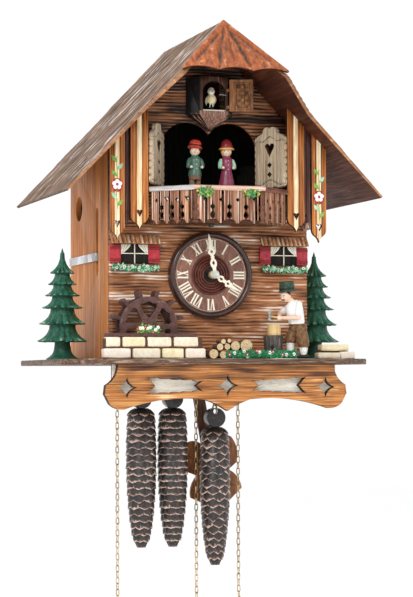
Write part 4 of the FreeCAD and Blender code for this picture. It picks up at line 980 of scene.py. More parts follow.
def make_hip():
    """The hip board, cut with long lens-shaped gouges that fan out from its apex."""
    down = (HIP_EDGE - HIP_APEX).normalized()
    where = place(HIP_APEX, (-1, 0, 0), down)
    length = (HIP_EDGE - HIP_APEX).length

    def gouge(u, v, a, b, wide):
        """Depth of a lens-shaped cut between two points."""
        ax, ay = b[0] - a[0], b[1] - a[1]
        size = math.hypot(ax, ay)
        t = ((u - a[0]) * ax + (v - a[1]) * ay) / size**2
        if not 0.0 < t < 1.0:
            return 0.0
        off = abs((u - a[0]) * ay - (v - a[1]) * ax) / size
        half = wide * math.sin(math.pi * t) ** 0.7
        return max(0.0, 1.0 - off / half) if half > 0 else 0.0

    def depth(u, v):
        total = 0.0
        for side in (-1, 1):
            total += 1.5 * gouge(u, v, (side * 1.5, 8), (side * 18.8, length + 4), 5.5)
            total += 1.2 * gouge(u, v, (side * 6, 17), (side * 44, length - 6), 4.2)
            total += 0.8 * gouge(u, v, (side * 3.2, 30), (side * 8.5, length + 3), 2.6)
            total += 0.7 * gouge(u, v, (side * 22, 44), (side * 33, length + 1), 2.6)
        total += 0.9 * gouge(u, v, (0, 22), (0, length + 6), 3.2)
        return min(2.3, total + 0.12 * (1 + wobble(u, v * 0.4, 21, 0.25)))

    def tone(u, v, d):
        if d > 2.6:
            return 0.4
        return 0.7 - 0.4 * d + 0.2 * wobble(u * 2.5, v, 13, 0.06)
    normal_out = down.cross(Vector((-1, 0, 0))) * -1.0

    def choose(p, normal):
        return 1 if normal.dot(normal_out) < -0.5 else None
    relief("roof_hip", "roof_hip", where, spread(-64.0, 64.0, 97), spread(-6.0, length + 10.0, 64), depth,
           ["hip", "roof_under"], tone, choose)


FRIEZE_BAR = 2.9


def make_frieze():
    node = "frieze_board"
    lo, hi = low(node), high(node)
    where = front(lo.y)

    def depth(u, v):
        bars = 0.5 * groove(v / FRIEZE_BAR + 0.5 * wobble(u, v, 31, 0.03), 1.5)
        return bars + 0.25 * (1 + wobble(u, v * 4, 33, 0.05))

    def tone(u, v, d):
        if d > 0.95:
            return 0.2
        sunk = min(1.0, max(0.0, (-v - 10.0) / 32.0))
        broad = 0.16 * wobble(u, v * 2, 36, 0.06)
        return 0.52 + 0.26 * sunk - 0.5 * d + 0.5 * wobble(u, v * 7, 35, 0.025) + broad

    def choose(p, normal):
        # Side and back faces take the dark edge finish: burned edges and painted shade in the piercings.
        return 1 if normal.y > -0.5 else None
    relief("frieze_board", node, where, spread(lo.x - 2, hi.x + 2, 44), steps(lo.z - 3, hi.z + 3, 2.9, 4),
           depth,
           ["frieze", "burnt"], tone, choose)


def moulded(u, half):
    """Depth of a board's vertical mouldings: a hollow on each side of a flat middle bead."""
    t = abs(u) / half
    return 0.8 * math.exp(-((t - 0.42) / 0.1) ** 2) + 0.6 * math.exp(-((t - 0.78) / 0.08) ** 2)


def make_drop_boards():
    for node, centres, slot, recipe in (("drop_boards", ((BOARD_X["plain"], 9.4), (BOARD_X["flowered"], 7.9)),
                                         "carved_orange",
                                         "drop"), ("drop_boards_dark", ((97.2, 6.0),), "brown_wood",
                                                   "drop_dark")):
        board = node_mesh(node)
        blocks = Shape()
        lo, hi = low(node), high(node)
        for centre, half in centres:
            for sign in (-1, 1):
                y = lo.y if centre != BOARD_X["plain"] else -33.0
                us = [sign * centre + half * t for t in spread(-1.12, 1.12, 29)]
                slab(blocks, front(y), us, spread(lo.z - 4, hi.z + 4, 5),
                     lambda u, v, c=sign * centre, h=half: (u, v, moulded(u - c, h) - 0.03), 8.0)
        mesh = carved(board, blocks)

        def tone(p):
            half, centre = min(((h, c) for c, h in centres), key=lambda pair: abs(abs(p.x) - pair[1]))
            return 0.62 - 0.5 * moulded(abs(p.x) - centre, half) + 0.25 * wobble(p.x * 3, p.z, 41, 0.04)
        toned(mesh, tone)
        edge = 1 if recipe == "drop" else 0
        repaint(mesh, lambda p, normal: edge if abs(normal.y) < 0.5 else None)
        piece(node, mesh, [recipe, "burnt"][:edge + 1], "clock", [node])


def petal_flower(shape, u, v, where, r):
    """Five flat petals about a button: paints 0 petals, 1 button."""
    shape.paint = 0
    for i in range(5):
        a = 2 * math.pi * i / 5 + 0.3
        centre = where @ Vector((u + r * 0.6 * math.cos(a), v + r * 0.6 * math.sin(a), 0.0))
        shape.blob(centre, (r * 0.42, 0.35, r * 0.42), n=10)
    shape.paint = 1
    shape.blob(where @ Vector((u, v, 0.1)), (r * 0.28, 0.5, r * 0.28), n=10)
    shape.paint = 0


def leaf(shape, where, u, v, length, angle, wide=0.34, lift=0.0, thick=0.22):
    """A thin pointed leaf that starts at (u, v)."""
    du, dv = math.cos(angle), math.sin(angle)
    mid_line = []
    for i in range(7):
        t = i / 6
        half = length * wide * 0.5 * math.sin(math.pi * min(0.98, 0.04 + t * 0.94)) ** 0.8
        c = (u + du * length * t, v + dv * length * t)
        w = lift + thick * math.sin(math.pi * t)
        mid_line.append([where @ Vector((c[0] - dv * half, c[1] + du * half, 0.0)),
                         where @ Vector((c[0], c[1], w + thick)),
                         where @ Vector((c[0] + dv * half, c[1] - du * half, 0.0)),
                         where @ Vector((c[0], c[1], -0.15))])
    shape.rings(mid_line)


def make_board_flowers():
    """A painted spray on each flowered board: one bloom on a red patch, leaves above and below it."""
    for sign, bloom_z in ((-1, 178.5), (1, 170.5)):
        where = front(-36.0, sign * BOARD_X["flowered"], 0.0)
        green = Shape()
        for k, (dz, side) in enumerate(((-22, 1), (-15, -1), (8, -1), (15, 1), (23, -1))):
            green.paint = k % 2
            leaf(green, where, 0.0, bloom_z + dz, 8.8, math.pi / 2 - side * 0.75, 0.44)
        green.paint = 0
        green.tube([where @ Vector((0.5 * math.sin(t / 5.0), bloom_z + t, 0.05)) for t in range(-25, 30, 3)],
                   0.35, 6)
        piece("board_leaves_" + "lr"[sign > 0], green.mesh(), ["leaf", "mint"])
        bloom = Shape()
        petal_flower(bloom, 0.0, bloom_z, front(-36.1, sign * BOARD_X["flowered"], 0.0), 5.4)
        piece("board_blooms_" + "lr"[sign > 0], bloom.mesh(), ["white", "red"])
        red = Shape()
        red.blob(where @ Vector((0, bloom_z - 0.6, 0.0)), (5.9, 0.16, 7.4), n=14)
        piece("board_red_" + "lr"[sign > 0], red.mesh(), ["red"])


def make_returns():
    node = "fretwork_returns"
    mesh = applied(node_mesh(node), rounded(0.5))
    toned(mesh, lambda p: 0.5)
    piece(node, mesh, ["return"], "clock", [node])


SHUTTER_HINGE = (55.0, -1.4)
SHUTTER_SWING = 57.5


def make_shutters():
    """Each shutter is carved in its own swung plane: reeds, an ogee line above the diamonds and one below."""
    lo, hi = low("carved_shutters"), high("carved_shutters")
    board = node_mesh("carved_shutters")
    blocks = Shape()
    swing = math.radians(SHUTTER_SWING)
    frames = []
    for sign in (-1, 1):
        hinge = (sign * SHUTTER_HINGE[0], SHUTTER_HINGE[1], 0.0)
        along = (sign * math.cos(swing), -math.sin(swing), 0.0)
        if sign > 0:
            where = place(hinge, along, (0, 0, 1))
        else:
            where = place(hinge, (-along[0], -along[1], 0.0), (0, 0, 1))
        frames.append(where)
    for sign, where in zip((-1, 1), frames):
        inverse = where.inverted()
        near = [inverse @ design(v.co) for v in board.vertices if design(v.co).x * sign > 0]
        face = max(p.z for p in near)
        ulo, uhi = min(p.x for p in near), max(p.x for p in near)
        middle = (ulo + uhi) / 2
        lifted = where @ Matrix.Translation((middle, 0.0, face))
        frames[0 if sign < 0 else 1] = lifted
        slab(blocks, lifted, spread(-20.4, 20.4, 84), spread(lo.z - 2, hi.z + 2, 70),
             lambda u, v: (u, v, shutter_depth(u, v) - 0.03), 9.0)
    mesh = carved(board, blocks)
    inverses = [f.inverted() for f in frames]

    def tone(p):
        u, v, w = inverses[0 if p.x < 0 else 1] @ p
        d = -w
        if d > 1.4:
            return 0.4
        return 0.68 - 0.5 * d + 0.25 * wobble(u * 3, v, 55, 0.04)
    toned(mesh, tone)

    def choose(p, normal):
        f = 0 if p.x < 0 else 1
        u, v, w = inverses[f] @ p
        across = abs((inverses[f].to_3x3() @ normal).z) < 0.5
        # The walls of the heart piercing take the dark edge finish: painted shade in the piercing.
        return 1 if across and abs(u) < 9.5 and 189.0 < v < 229.5 else None
    repaint(mesh, choose)
    piece("carved_shutters", mesh, ["shutter", "burnt"], "clock", ["carved_shutters"])


def shutter_depth(u, v):
    reed = 0.45 * groove(u / 4.4, 3.0)
    wave = 185.5 + 3.2 * math.cos(2 * math.pi * u / 30.0) * math.exp(-abs(u) / 40.0)
    ogee = 232.6 - 0.014 * u * u + 1.8 * math.cos(2 * math.pi * u / 18.0)
    line = 1.1 * math.exp(-((v - wave) / 0.55) ** 2) + 1.1 * math.exp(-((v - ogee) / 0.55) ** 2)
    return min(1.3, reed + line + 0.1 * (1 + wobble(u, v, 51, 0.2)))


# ---- balcony -------------------------------------------------------------------------------------------
def spindle_loop(u):
    """A turned-spindle piercing: pointed top, bead, teardrop."""
    right = [(0.9, 159.0), (0.9, 157.6), (2.2, 156.6), (2.7, 155.2), (2.2, 153.8), (0.9, 152.4), (0.8, 151.0),
             (2.2, 149.2), (2.9, 147.0), (2.6, 145.0), (1.5, 143.4)]
    loop = [(u, 163.0)] + [(u + a, b) for a, b in right] + [(u, 142.9)]
    return loop + [(u - a, b) for a, b in reversed(right)]


SLATS = 4


def rail_panel(shape, where, half, marks):
    """Slats between pierced spindles, with arches cut into the foot below each of them."""
    pitch = 2 * half / SLATS
    loop = [(half, 172.0), (-half, 172.0)]
    arches = []
    for i in range(SLATS + 1):
        u = -half + pitch * i
        for k in range(9):
            t = -1.0 + k / 4.0
            x = u + t * pitch * 0.44
            if -half <= x <= half:
                arches.append((x, 138.4 + 4.3 * math.sqrt(max(0.0, 1 - t * t))))
    loops = [loop + arches]
    for i in range(1, SLATS):
        loops.append(spindle_loop(-half + pitch * i))
    for i, mark in enumerate(marks):
        u = -half + pitch * (i + 0.5)
        loops.append(heart_loop(u, 163.4, 5.2, 5.6) if mark == "h" else diamond_loop(u, 162.5, 4.4, 4.8))
    shape.prism(loops, -5.0, 0.0, where)


def make_railing():
    """Three panels cut from one pattern, reeded, with turned corner posts and a moulded rail on top."""
    y = -63.8
    corner, back = (36.0, y), (71.6, -31.2)
    board = Shape()
    reeds = Shape()
    sides = []
    for sign in (-1, 1):
        a = (sign * corner[0], corner[1])
        b = (sign * back[0], back[1])
        left, right = (b, a) if sign < 0 else (a, b)
        middle = ((left[0] + right[0]) / 2, (left[1] + right[1]) / 2, 0.0)
        along = (right[0] - left[0], right[1] - left[1], 0.0)
        half = math.hypot(along[0], along[1]) / 2 - 1.0
        where = place(middle, along, (0, 0, 1))
        lifted = where @ Matrix.Translation((0, 0, 4.0))
        sides.append((lifted, half, "dhdh" if sign < 0 else "dddd"))
    sides.append((front(y - 4.9), corner[0], "hddh"))
    for where, half, marks in sides:
        rail_panel(board, where, half, marks)
        us = spread(-half - 1, half + 1, int(half * 4.2))
        pitch = 2 * half / SLATS
        slab(reeds, where, us, [134.0, 150.0, 160.0, 176.0],
             lambda u, v, h=half, p=pitch: (u, v, 0.75 * groove((u + h) / (p / 5.0), 2.5) - 0.03), 6.0)
    mesh = carved(board.mesh(), reeds)
    frames = [where.inverted() for where, half, marks in sides]

    def tone(p):
        w = min((inverse @ p for inverse in frames), key=lambda q: abs(q.z)).z
        d = -w
        # Deep in the piercings the tone drops to dark: painted shade.
        if d > 1.2:
            return 0.15
        stripe = wobble(p.x * 2.2 + p.y * 2.2, p.z * 0.1, 61, 0.12)
        return 0.66 - 0.8 * d + 0.55 * stripe
    toned(mesh, tone)
    faces = [where.to_3x3() @ Vector((0.0, 0.0, 1.0)) for where, half, marks in sides]
    # Faces across the panels take the dark edge finish: burned edges and painted shade in the piercings.
    repaint(mesh, lambda p, normal: 1 if max(abs(normal.dot(n)) for n in faces) < 0.45 else None)
    piece("railing_panels", mesh, ["rail", "burnt"], "clock", ["balcony_railing"])
    top = Shape()
    section = [(-1.5, 172.0), (-1.5, 175.6), (-0.6, 176.9), (1.2, 177.0), (5.6, 177.0), (6.8, 176.2),
               (7.0, 174.6), (6.2, 173.4),
               (5.9, 172.0)]
    line = [(-back[0], back[1] + 1.0), (-corner[0], corner[1]), (corner[0], corner[1]),
            (back[0], back[1] + 1.0)]
    runs = [(line[0], line[1], 0), (line[1], line[2], 1), (line[2], line[3], 2)]
    # Each run takes its own paint: the paler left and darker right runs are painted light and shade.
    for a, b, paint in runs:
        top.paint = paint
        ring_a, ring_b = [], []
        for out, z in section:
            ring_a.append(Vector((*offset_corner(line, a, out), z)))
            ring_b.append(Vector((*offset_corner(line, b, out), z)))
        rings = [[p.lerp(q, t) for p, q in zip(ring_a, ring_b)] for t in spread(0.0, 1.0, 12)]
        top.rings(rings)
    mesh = applied(top.mesh(), rounded(0.25, 1))
    piece("railing_rail", mesh, ["rail_grey", "rail_pink", "rail_brown"])
    posts = Shape()
    profile = [(2.0, 138.0), (3.2, 138.8), (3.4, 140.4), (2.2, 142.0), (2.6, 144.0), (3.9, 147.0),
               (3.4, 150.2), (1.9, 152.6),
               (2.9, 154.0), (3.2, 155.4), (2.8, 156.8), (1.8, 158.2), (2.2, 161.0), (2.6, 165.0),
               (2.2, 167.4), (3.2, 168.6),
               (3.4, 170.2), (2.6, 171.4), (3.4, 172.2)]
    for sign in (-1, 1):
        posts.lathe(profile, Matrix.Translation((sign * corner[0], corner[1] - 3.2, 0.0)), 20)
        posts.lathe([(r * 0.7, z) for r, z in profile],
                    Matrix.Translation((sign * (back[0] - 1.5), back[1] - 2.6, 0.0)), 16)
    piece("railing_posts", posts.mesh(), ["dark_wood"])
    make_tufts(y - 6.6)


def offset_corner(line, p, out):
    """Move a corner of an open line outwards (away from the wall) by a distance, mitred."""
    i = line.index(p)
    normals = []
    for a, b in ((line[i - 1], p) if i else (None, None),
                 (p, line[i + 1]) if i + 1 < len(line) else (None, None)):
        if a:
            d = Vector((b[0] - a[0], b[1] - a[1])).normalized()
            normals.append(Vector((d.y, -d.x)))
    n = sum(normals, Vector((0, 0)))
    n = n / n.length_squared if len(normals) == 1 else n * (2.0 / n.length_squared)
    return (p[0] + n.x * out, p[1] + n.y * out)


def tuft(shape, where, u, v, wide, tall, seed, count=46, bright=0.3):
    """A sprig of pointed leaves of two greens with a few yellow tips."""
    rng = random.Random(seed)
    for _ in range(count):
        a = rng.uniform(0, 2 * math.pi)
        r = rng.random() ** 0.6
        x = u + wide * 0.5 * r * math.cos(a)
        z = v + tall * 0.5 * r * math.sin(a)
        shape.paint = rng.choice((0, 0, 1, 1, 2 if rng.random() < bright else 1))
        leaf(shape, where @ Matrix.Translation((0, 0, rng.uniform(0.0, 1.4))), x, z, rng.uniform(2.2, 4.0),
             rng.uniform(0, 6.28),
             0.55, 0.2, 0.35)


def make_tufts(y):
    shape = Shape()
    for u, seed in ((-25.5, 5), (22.6, 8)):
        tuft(shape, front(y + 0.6), u, 170.0, 17.0, 7.5, seed, 60)
    piece("railing_leaves", shape.mesh(), ["green", "leaf", "yellow"])


# ---- cottage windows -----------------------------------------------------------------------------------
COTTAGES = (-82.4, 82.4)


def rect(u0, v0, u1, v1):
    return [(u0, v0), (u1, v0), (u1, v1), (u0, v1)]


def make_windows():
    """Black panes with white crossed bars and tied-back curtains."""
    shape = Shape()
    wall = front(0.0)
    for c in COTTAGES:
        shape.paint = 0
        shape.prism([rect(c - 14.6, 99.5, c + 14.6, 119.5)], 0.0, 1.2, wall)
        shape.paint = 1
        for loop in (rect(c - 0.45, 99.5, c + 0.45, 119.5), rect(c - 14.6, 109.5, c + 14.6, 110.4)):
            shape.prism([loop], 1.2, 2.7, wall)
        for side in (-1, 1):
            shape.paint = 1
            swag = [(c + side * 14.5, 119.4), (c + side * 4.0, 119.4)]
            swag += [(c + side * (4.0 + 10.5 * t**1.5), 119.4 - 10.5 * t) for t in spread(0.15, 1.0, 8)]
            shape.prism([swag], 1.2, 1.9, wall)
            shape.paint = 2
            for k in range(2):
                fold = [wall @ Vector((c + side * (7.4 + 3.0 * k + (7.0 - 3.0 * k) * t**1.5), 119.2 - 9.4 * t,
                                       1.9))
                        for t in spread(0.0, 0.94, 8)]
                shape.tube(fold, 0.2, 6)
    mesh = applied(shape.mesh(), rounded(0.2, 1))
    piece("cottage_windows", mesh, ["inside", "cream", "grey"], "clock", ["cottage_windows"])
    mesh = applied(node_mesh("red_shutters"), rounded(0.4))
    repaint(mesh, lambda p, n: 2 if p.y < -3.1 else (0 if p.x < 0 else 1))
    piece("red_shutters", mesh, ["pink_red", "red", "dark_red"], "clock", ["red_shutters"])


def make_awnings():
    where = place((0, -2.6, 129.6), (1, 0, 0), (0, 7.0, 9.0))
    foot, top = low("window_awnings"), high("window_awnings")

    def depth(u, v):
        return 1.5 * groove((abs(u) - COTTAGES[1]) / 4.7, 1.8)

    def tone(u, v, d):
        return 0.82 - 0.46 * d + 0.3 * wobble(u * 0.7, v * 0.1, 71, 0.35)
    relief("window_awnings", "window_awnings", where, spread(foot.x - 2, top.x + 2, 420),
           spread(-16.0, 6.0, 5), depth,
           ["awning"], tone)


def blossom(shape, centre, r, petals, heart):
    shape.paint = petals
    for i in range(5):
        a = 2 * math.pi * i / 5
        shape.blob((centre[0] + r * 0.6 * math.cos(a), centre[1], centre[2] + r * 0.6 * math.sin(a)),
                   (r * 0.5, r * 0.4, r * 0.5),
                   n=8)
    shape.paint = heart
    shape.blob((centre[0], centre[1] - r * 0.3, centre[2]), (r * 0.35, r * 0.35, r * 0.35), n=8)


GARDEN = ("green", "mint", "leaf", "white", "red")


def make_flower_boxes():
    shape = Shape()
    rng = random.Random(17)
    for c in COTTAGES:
        for k in range(13):
            u = c - 22.5 + 3.75 * k
            tuft(shape, front(-5.6), u, 94.9 + rng.uniform(-0.6, 0.6), 6.0, 4.6, 100 + k, 15, 0.1)
        for k in range(6):
            blossom(shape, (c - 20.5 + 8.2 * k, -6.9, 95.6 + rng.uniform(-1.6, 1.0)), 1.6, 3, 4)
    piece("window_flowers", shape.mesh(), GARDEN, "clock", ["flower_boxes"])
    sill = Shape()
    for c in COTTAGES:
        sill.prism([rect(c - 25.4, 91.0, c + 25.4, 93.0)], 0.0, 6.2, front(0.0))
        sill.prism([rect(c - 24.4, 93.0, c + 24.4, 96.5)], 0.0, 4.0, front(0.0))
    piece("window_sills", applied(sill.mesh(), rounded(0.5)), ["dark_wood"])


# ---- dial and hands ------------------------------------------------------------------------------------
DIAL_Z = mid("dial").z


def ring_parts(shape, where, parts, n=72):
    """A turned body in several paints, from bands of (paint, profile)."""
    for paint, profile in parts:
        shape.paint = paint
        shape.rings([[where @ Vector((x, y, h)) for x, y in circle(r, n)] for r, h in profile], caps=False)


def make_dial():
    shape = Shape()
    where = front(0.0, 0.0, DIAL_Z)
    rim = [(3.2, 0.0), (45.8, 0.0), (45.9, 4.2), (45.2, 6.4), (44.3, 7.9), (43.2, 8.7), (42.0, 9.0),
           (40.8, 8.6), (39.8, 7.6),
           (39.2, 6.2), (39.0, 5.2)]
    inner = [(21.6, 5.2)]
    for r in (20.2, 17.2, 14.4, 11.6, 9.0):
        inner += [(r + 1.0, 5.2), (r + 0.4, 6.2), (r - 0.2, 6.35), (r - 1.0, 5.6), (r - 1.4, 4.6)]
    ring_parts(shape, where, [(0, rim),
                              (1, [(39.0, 5.2), (38.4, 5.15), (30.0, 5.0), (22.4, 5.15), (21.6, 5.2)]),
                              (2, inner),
                              (3, [(7.6, 4.6), (6.0, 4.4), (3.2, 4.4), (3.2, 0.0)])], 96)
    piece("dial", shape.mesh(), ("dial_ring", "dial", "dial_ridge", "black"), "clock", ["dial"])
    paint = Shape()
    for hour, text in enumerate(("XII", "I", "II", "III", "IIII", "V", "VI", "VII", "VIII", "IX", "X", "XI")):
        numeral(paint, text, front(-5.0, 0.0, DIAL_Z) @ Matrix.Rotation(-math.pi * hour / 6, 4, "Z"))
    line = [front(-5.2, 0.0, DIAL_Z) @ Vector((x, y, 0.0)) for x, y in circle(38.2, 96)]
    paint.tube(line, 0.13, 6, closed=True)
    piece("dial_numerals", paint.mesh(), ["cream"])


def stroke(shape, where, a, b, wide, w1):
    """A straight pen stroke from a to b, cut level at both ends."""
    half = wide / 2 * math.hypot(b[0] - a[0], b[1] - a[1]) / max(abs(b[1] - a[1]), 0.01)
    if abs(b[1] - a[1]) < 0.01:
        loop = rect(a[0], a[1] - wide / 2, b[0], a[1] + wide / 2)
    else:
        loop = [(a[0] - half, a[1]), (a[0] + half, a[1]), (b[0] + half, b[1]), (b[0] - half, b[1])]
    shape.prism([loop], -0.3, w1, where)


def numeral(shape, text, where):
    """Serifed Roman numeral, upright on its radius, with its foot towards the middle of the dial."""
    widths = {"I": 3.1, "V": 5.9, "X": 5.9}
    foot, top = 25.4, 36.8
    u = -sum(widths[c] for c in text) / 2
    for c in text:
        m = u + widths[c] / 2
        if c == "I":
            stroke(shape, where, (m, foot), (m, top), 1.7, 0.42)
            serifs = [(m, foot), (m, top)]
        elif c == "V":
            stroke(shape, where, (m - 1.7, top), (m - 0.1, foot), 1.7, 0.42)
            stroke(shape, where, (m + 1.8, top), (m + 0.1, foot), 0.8, 0.38)
            serifs = [(m - 1.7, top), (m + 1.8, top)]
        else:
            stroke(shape, where, (m - 1.7, top), (m + 1.7, foot), 1.7, 0.42)
            stroke(shape, where, (m + 1.7, top), (m - 1.7, foot), 0.8, 0.38)
            serifs = [(m + s, z) for s in (-1.7, 1.7) for z in (foot, top)]
        for x, z in serifs:
            stroke(shape, where, (x - 1.4, z), (x + 1.4, z), 0.6, 0.35)
        u += widths[c]


def hand_mesh(length, width, where):
    """A carved hand with two pierced leaves, notched edges and a long arrow tip, and its hub."""
    right = [(0.4, 0.13), (0.52, 0.17), (0.8, 0.23), (0.86, 0.29), (0.62, 0.35), (0.32, 0.39), (0.52, 0.42),
             (0.32, 0.45),
             (0.62, 0.49), (1.0, 0.53), (0.92, 0.58), (0.56, 0.61), (0.82, 0.655), (0.42, 0.7), (0.36, 0.86)]
    side = [(width * x, length * v) for x, v in right]
    hub = [(4.3 * math.sin(a), -4.3 * math.cos(a)) for a in spread(-2.75, 2.75, 25)]
    loop = hub + side + [(0.0, length)] + [(-x, v) for x, v in reversed(side)]
    loops = [loop, diamond_loop(0.0, 0.56 * length, 0.8 * width, 1.1 * width),
             diamond_loop(0.0, 0.28 * length, 0.8 * width, 1.3 * width)]
    shape = Shape()
    shape.prism(loops, 0.0, 1.5, where)
    return applied(shape.mesh(), rounded(0.3, 2, 30.0))


def joined(*meshes):
    """One mesh from several, keeping the faces' paints."""
    work = bmesh.new()
    for mesh in meshes:
        work.from_mesh(mesh)
    made = bpy.data.meshes.new("joined")
    work.to_mesh(made)
    work.free()
    return made


def make_hands():
    hour = hand_mesh(31.0, 4.0, front(-17.1, 0.0, DIAL_Z) @ Matrix.Rotation(-math.radians(123.5), 4, "Z"))
    pipe = Shape()
    where = front(0.0, 0.0, DIAL_Z)
    ring_parts(pipe, where, [(1, [(1.5, -6.0), (2.4, -6.0), (2.4, 9.0), (4.0, 9.6), (4.3, 10.6), (4.1, 17.1),
                                  (1.5, 17.1),
                                  (1.5, -6.0)]),
                             (0, [(1.5, 18.6), (3.5, 18.6), (3.7, 19.0), (3.5, 19.4), (1.5, 19.4),
                                  (1.5, 18.6)])], 32)
    piece("hour_hand", joined(hour, pipe.mesh()), ["cream", "billet"], "hour_hand", ["hour_hand"])
    minute = hand_mesh(43.0, 4.2, front(-19.5, 0.0, DIAL_Z) @ Matrix.Rotation(math.radians(9.7), 4, "Z"))
    nut = Shape()
    nut.paint = 1
    nut.lathe([(0.0, -41.0), (1.2, -41.0), (1.2, 21.2)], where, 16)
    nut.paint = 2
    nut.lathe([(0.0, 21.0), (3.9, 21.0), (4.1, 21.4), (3.8, 21.9), (0.0, 21.9)], where, 32)
    nut.lathe([(0.0, 21.8), (2.6, 21.8), (2.9, 22.1), (2.9, 23.2), (2.4, 23.6), (0.0, 23.6)], where, 6)
    nut.lathe([(0.0, 23.5), (1.2, 23.5), (1.0, 23.9), (0.0, 24.0)], where, 16)
    piece("minute_hand", joined(minute, nut.mesh()), ["cream", "brass", "pale_metal"], "minute_hand",
          ["minute_hand"])


# ---- cuckoo --------------------------------------------------------------------------------------------
def make_bay():
    """The bay stained dark, with upright reeds on its sill and bracket and a pale lip."""
    node = "cuckoo_bay"
    lo, hi = low(node), high(node)

    def depth(u, v):
        reed = 0.9 * groove(u / 3.1, 1.6) if v < 260.0 else 0.25 * groove(u / 2.0, 2.0)
        return reed * (1.0 if v < 260.0 else 0.8)

    def tone(u, v, d):
        if v < 260.0:
            return 0.75 - 0.5 * d + 0.2 * wobble(u * 3, v, 81, 0.1) if d < 20 else 0.5
        return 0.42 + 0.3 * wobble(u * 2, v, 83, 0.1) - 0.3 * min(d, 1.0)

    def choose(p, normal):
        # Faces inside the bay's mouth are black: painted shade inside the bay.
        if p.z > 260.4 and p.y > -17.4 and abs(p.x) < 18.5:
            return 1
        return 2 if p.z > 260.0 else 0
    relief(node, node, front(-18.0), spread(lo.x - 1, hi.x + 1, 180),
           [lo.z - 1, 246, 250, 256, 259.9, 260.1, 270, 280, 290,
                                                                      hi.z + 1], depth,
           ["bracket", "black", "bay"], tone, choose)
    pleats = Shape()
    pleats.tone = 0.72
    for x in spread(-1.0, 1.0, 11):
        pleats.tube([(x * 14.6, -17.4, 260.0), (x * 14.6, -17.2, 257.0), (x * 11.2, -14.6, 253.4),
                     (x * 7.4, -11.0, 249.7),
                     (x * 4.2, -6.8, 246.0), (x * 1.2, -2.6, 242.6)], [1.1, 1.3, 1.15, 0.9, 0.65, 0.35], 8)
    for sign in (-1, 1):
        for t in (0.25, 0.6):
            a, b = (sign * 15.5, -17.0), (sign * 25.0, -1.0)
            x, y = a[0] + (b[0] - a[0]) * t, a[1] + (b[1] - a[1]) * t
            pleats.tube([(x, y, 258.6), (x * 0.78, y * 0.8, 253.5), (x * 0.5, y * 0.6, 249.7),
                         (x * 0.1, y * 0.2 - 0.6, 243.2)],
                        [1.1, 1.0, 0.8, 0.35], 8)
    piece("bay_pleats", pleats.mesh(), ["bracket"])
    lip = Shape()
    lip.tube([(x, -17.2 - 0.6 * math.cos(x / 11.0), 260.6) for x in spread(-12.2, 12.2, 9)], 0.75, 8)
    piece("bay_lip", lip.mesh(), ["cream"])


DOOR_HINGE = (14.4, -19.9, 0.0)
DOOR_TURN = 20.0
DOOR_FOOT, DOOR_TOP = 259.5, 293.0


def make_door():
    """The little square-headed door seen from its open side: a bordered panel with a carved spray."""
    node = "cuckoo_door"
    turn = math.radians(DOOR_TURN)
    where = place(DOOR_HINGE, (math.cos(turn), -math.sin(turn), 0.0), (0, 0, 1))
    inverse = where.inverted()
    inside = [inverse @ design(v.co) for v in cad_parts[node].data.vertices]
    flat = [p for p in inside if p.x > 3.0]
    face = max(p.z for p in flat)
    left, right = min(p.x for p in flat), max(p.x for p in flat)
    lifted = where @ Matrix.Translation((0, 0, face))
    middle = (left + right) / 2

    def border(u, v):
        """Distance in from the door's edge."""
        return min((right - left) / 2 - abs(u - middle), v - DOOR_FOOT, DOOR_TOP - v)

    def depth(u, v):
        edge = border(u, v)
        line = 0.55 * math.exp(-((edge - 2.4) / 0.4) ** 2)
        bed = 0.55 if edge > 3.4 else 0.0
        spray = 0.0
        for a, b, r in ((0, 266, 2.6), (-4.2, 268.5, 2.4), (4.2, 268.5, 2.4), (-3.8, 274.5, 2.5),
                        (3.8, 274.5, 2.5), (0, 279.5, 2.6),
                        (0, 272.0, 2.0), (-7.0, 264.5, 1.6), (7.0, 264.5, 1.6), (-4.4, 283.0, 2.2),
                        (4.4, 283.0, 2.2),
                        (0, 286.0, 2.0), (-7.6, 279.0, 1.6), (7.6, 279.0, 1.6)):
            spray = max(spray, 1.0 - math.hypot(u - middle - a, v - b) / r)
        return max(0.0, line + bed * (1.0 - min(1.0, 2.0 * spray)))

    def tone(u, v, d):
        return 0.66 - 0.7 * d + 0.25 * wobble(u * 2, v, 91, 0.2) if d < 1.2 else 0.4
    relief(node, node, lifted, spread(-3.0, right + 1.5, 62), spread(258.0, 294.5, 76), depth,
           ["door"], tone, body="cuckoo_door", back=9.0)


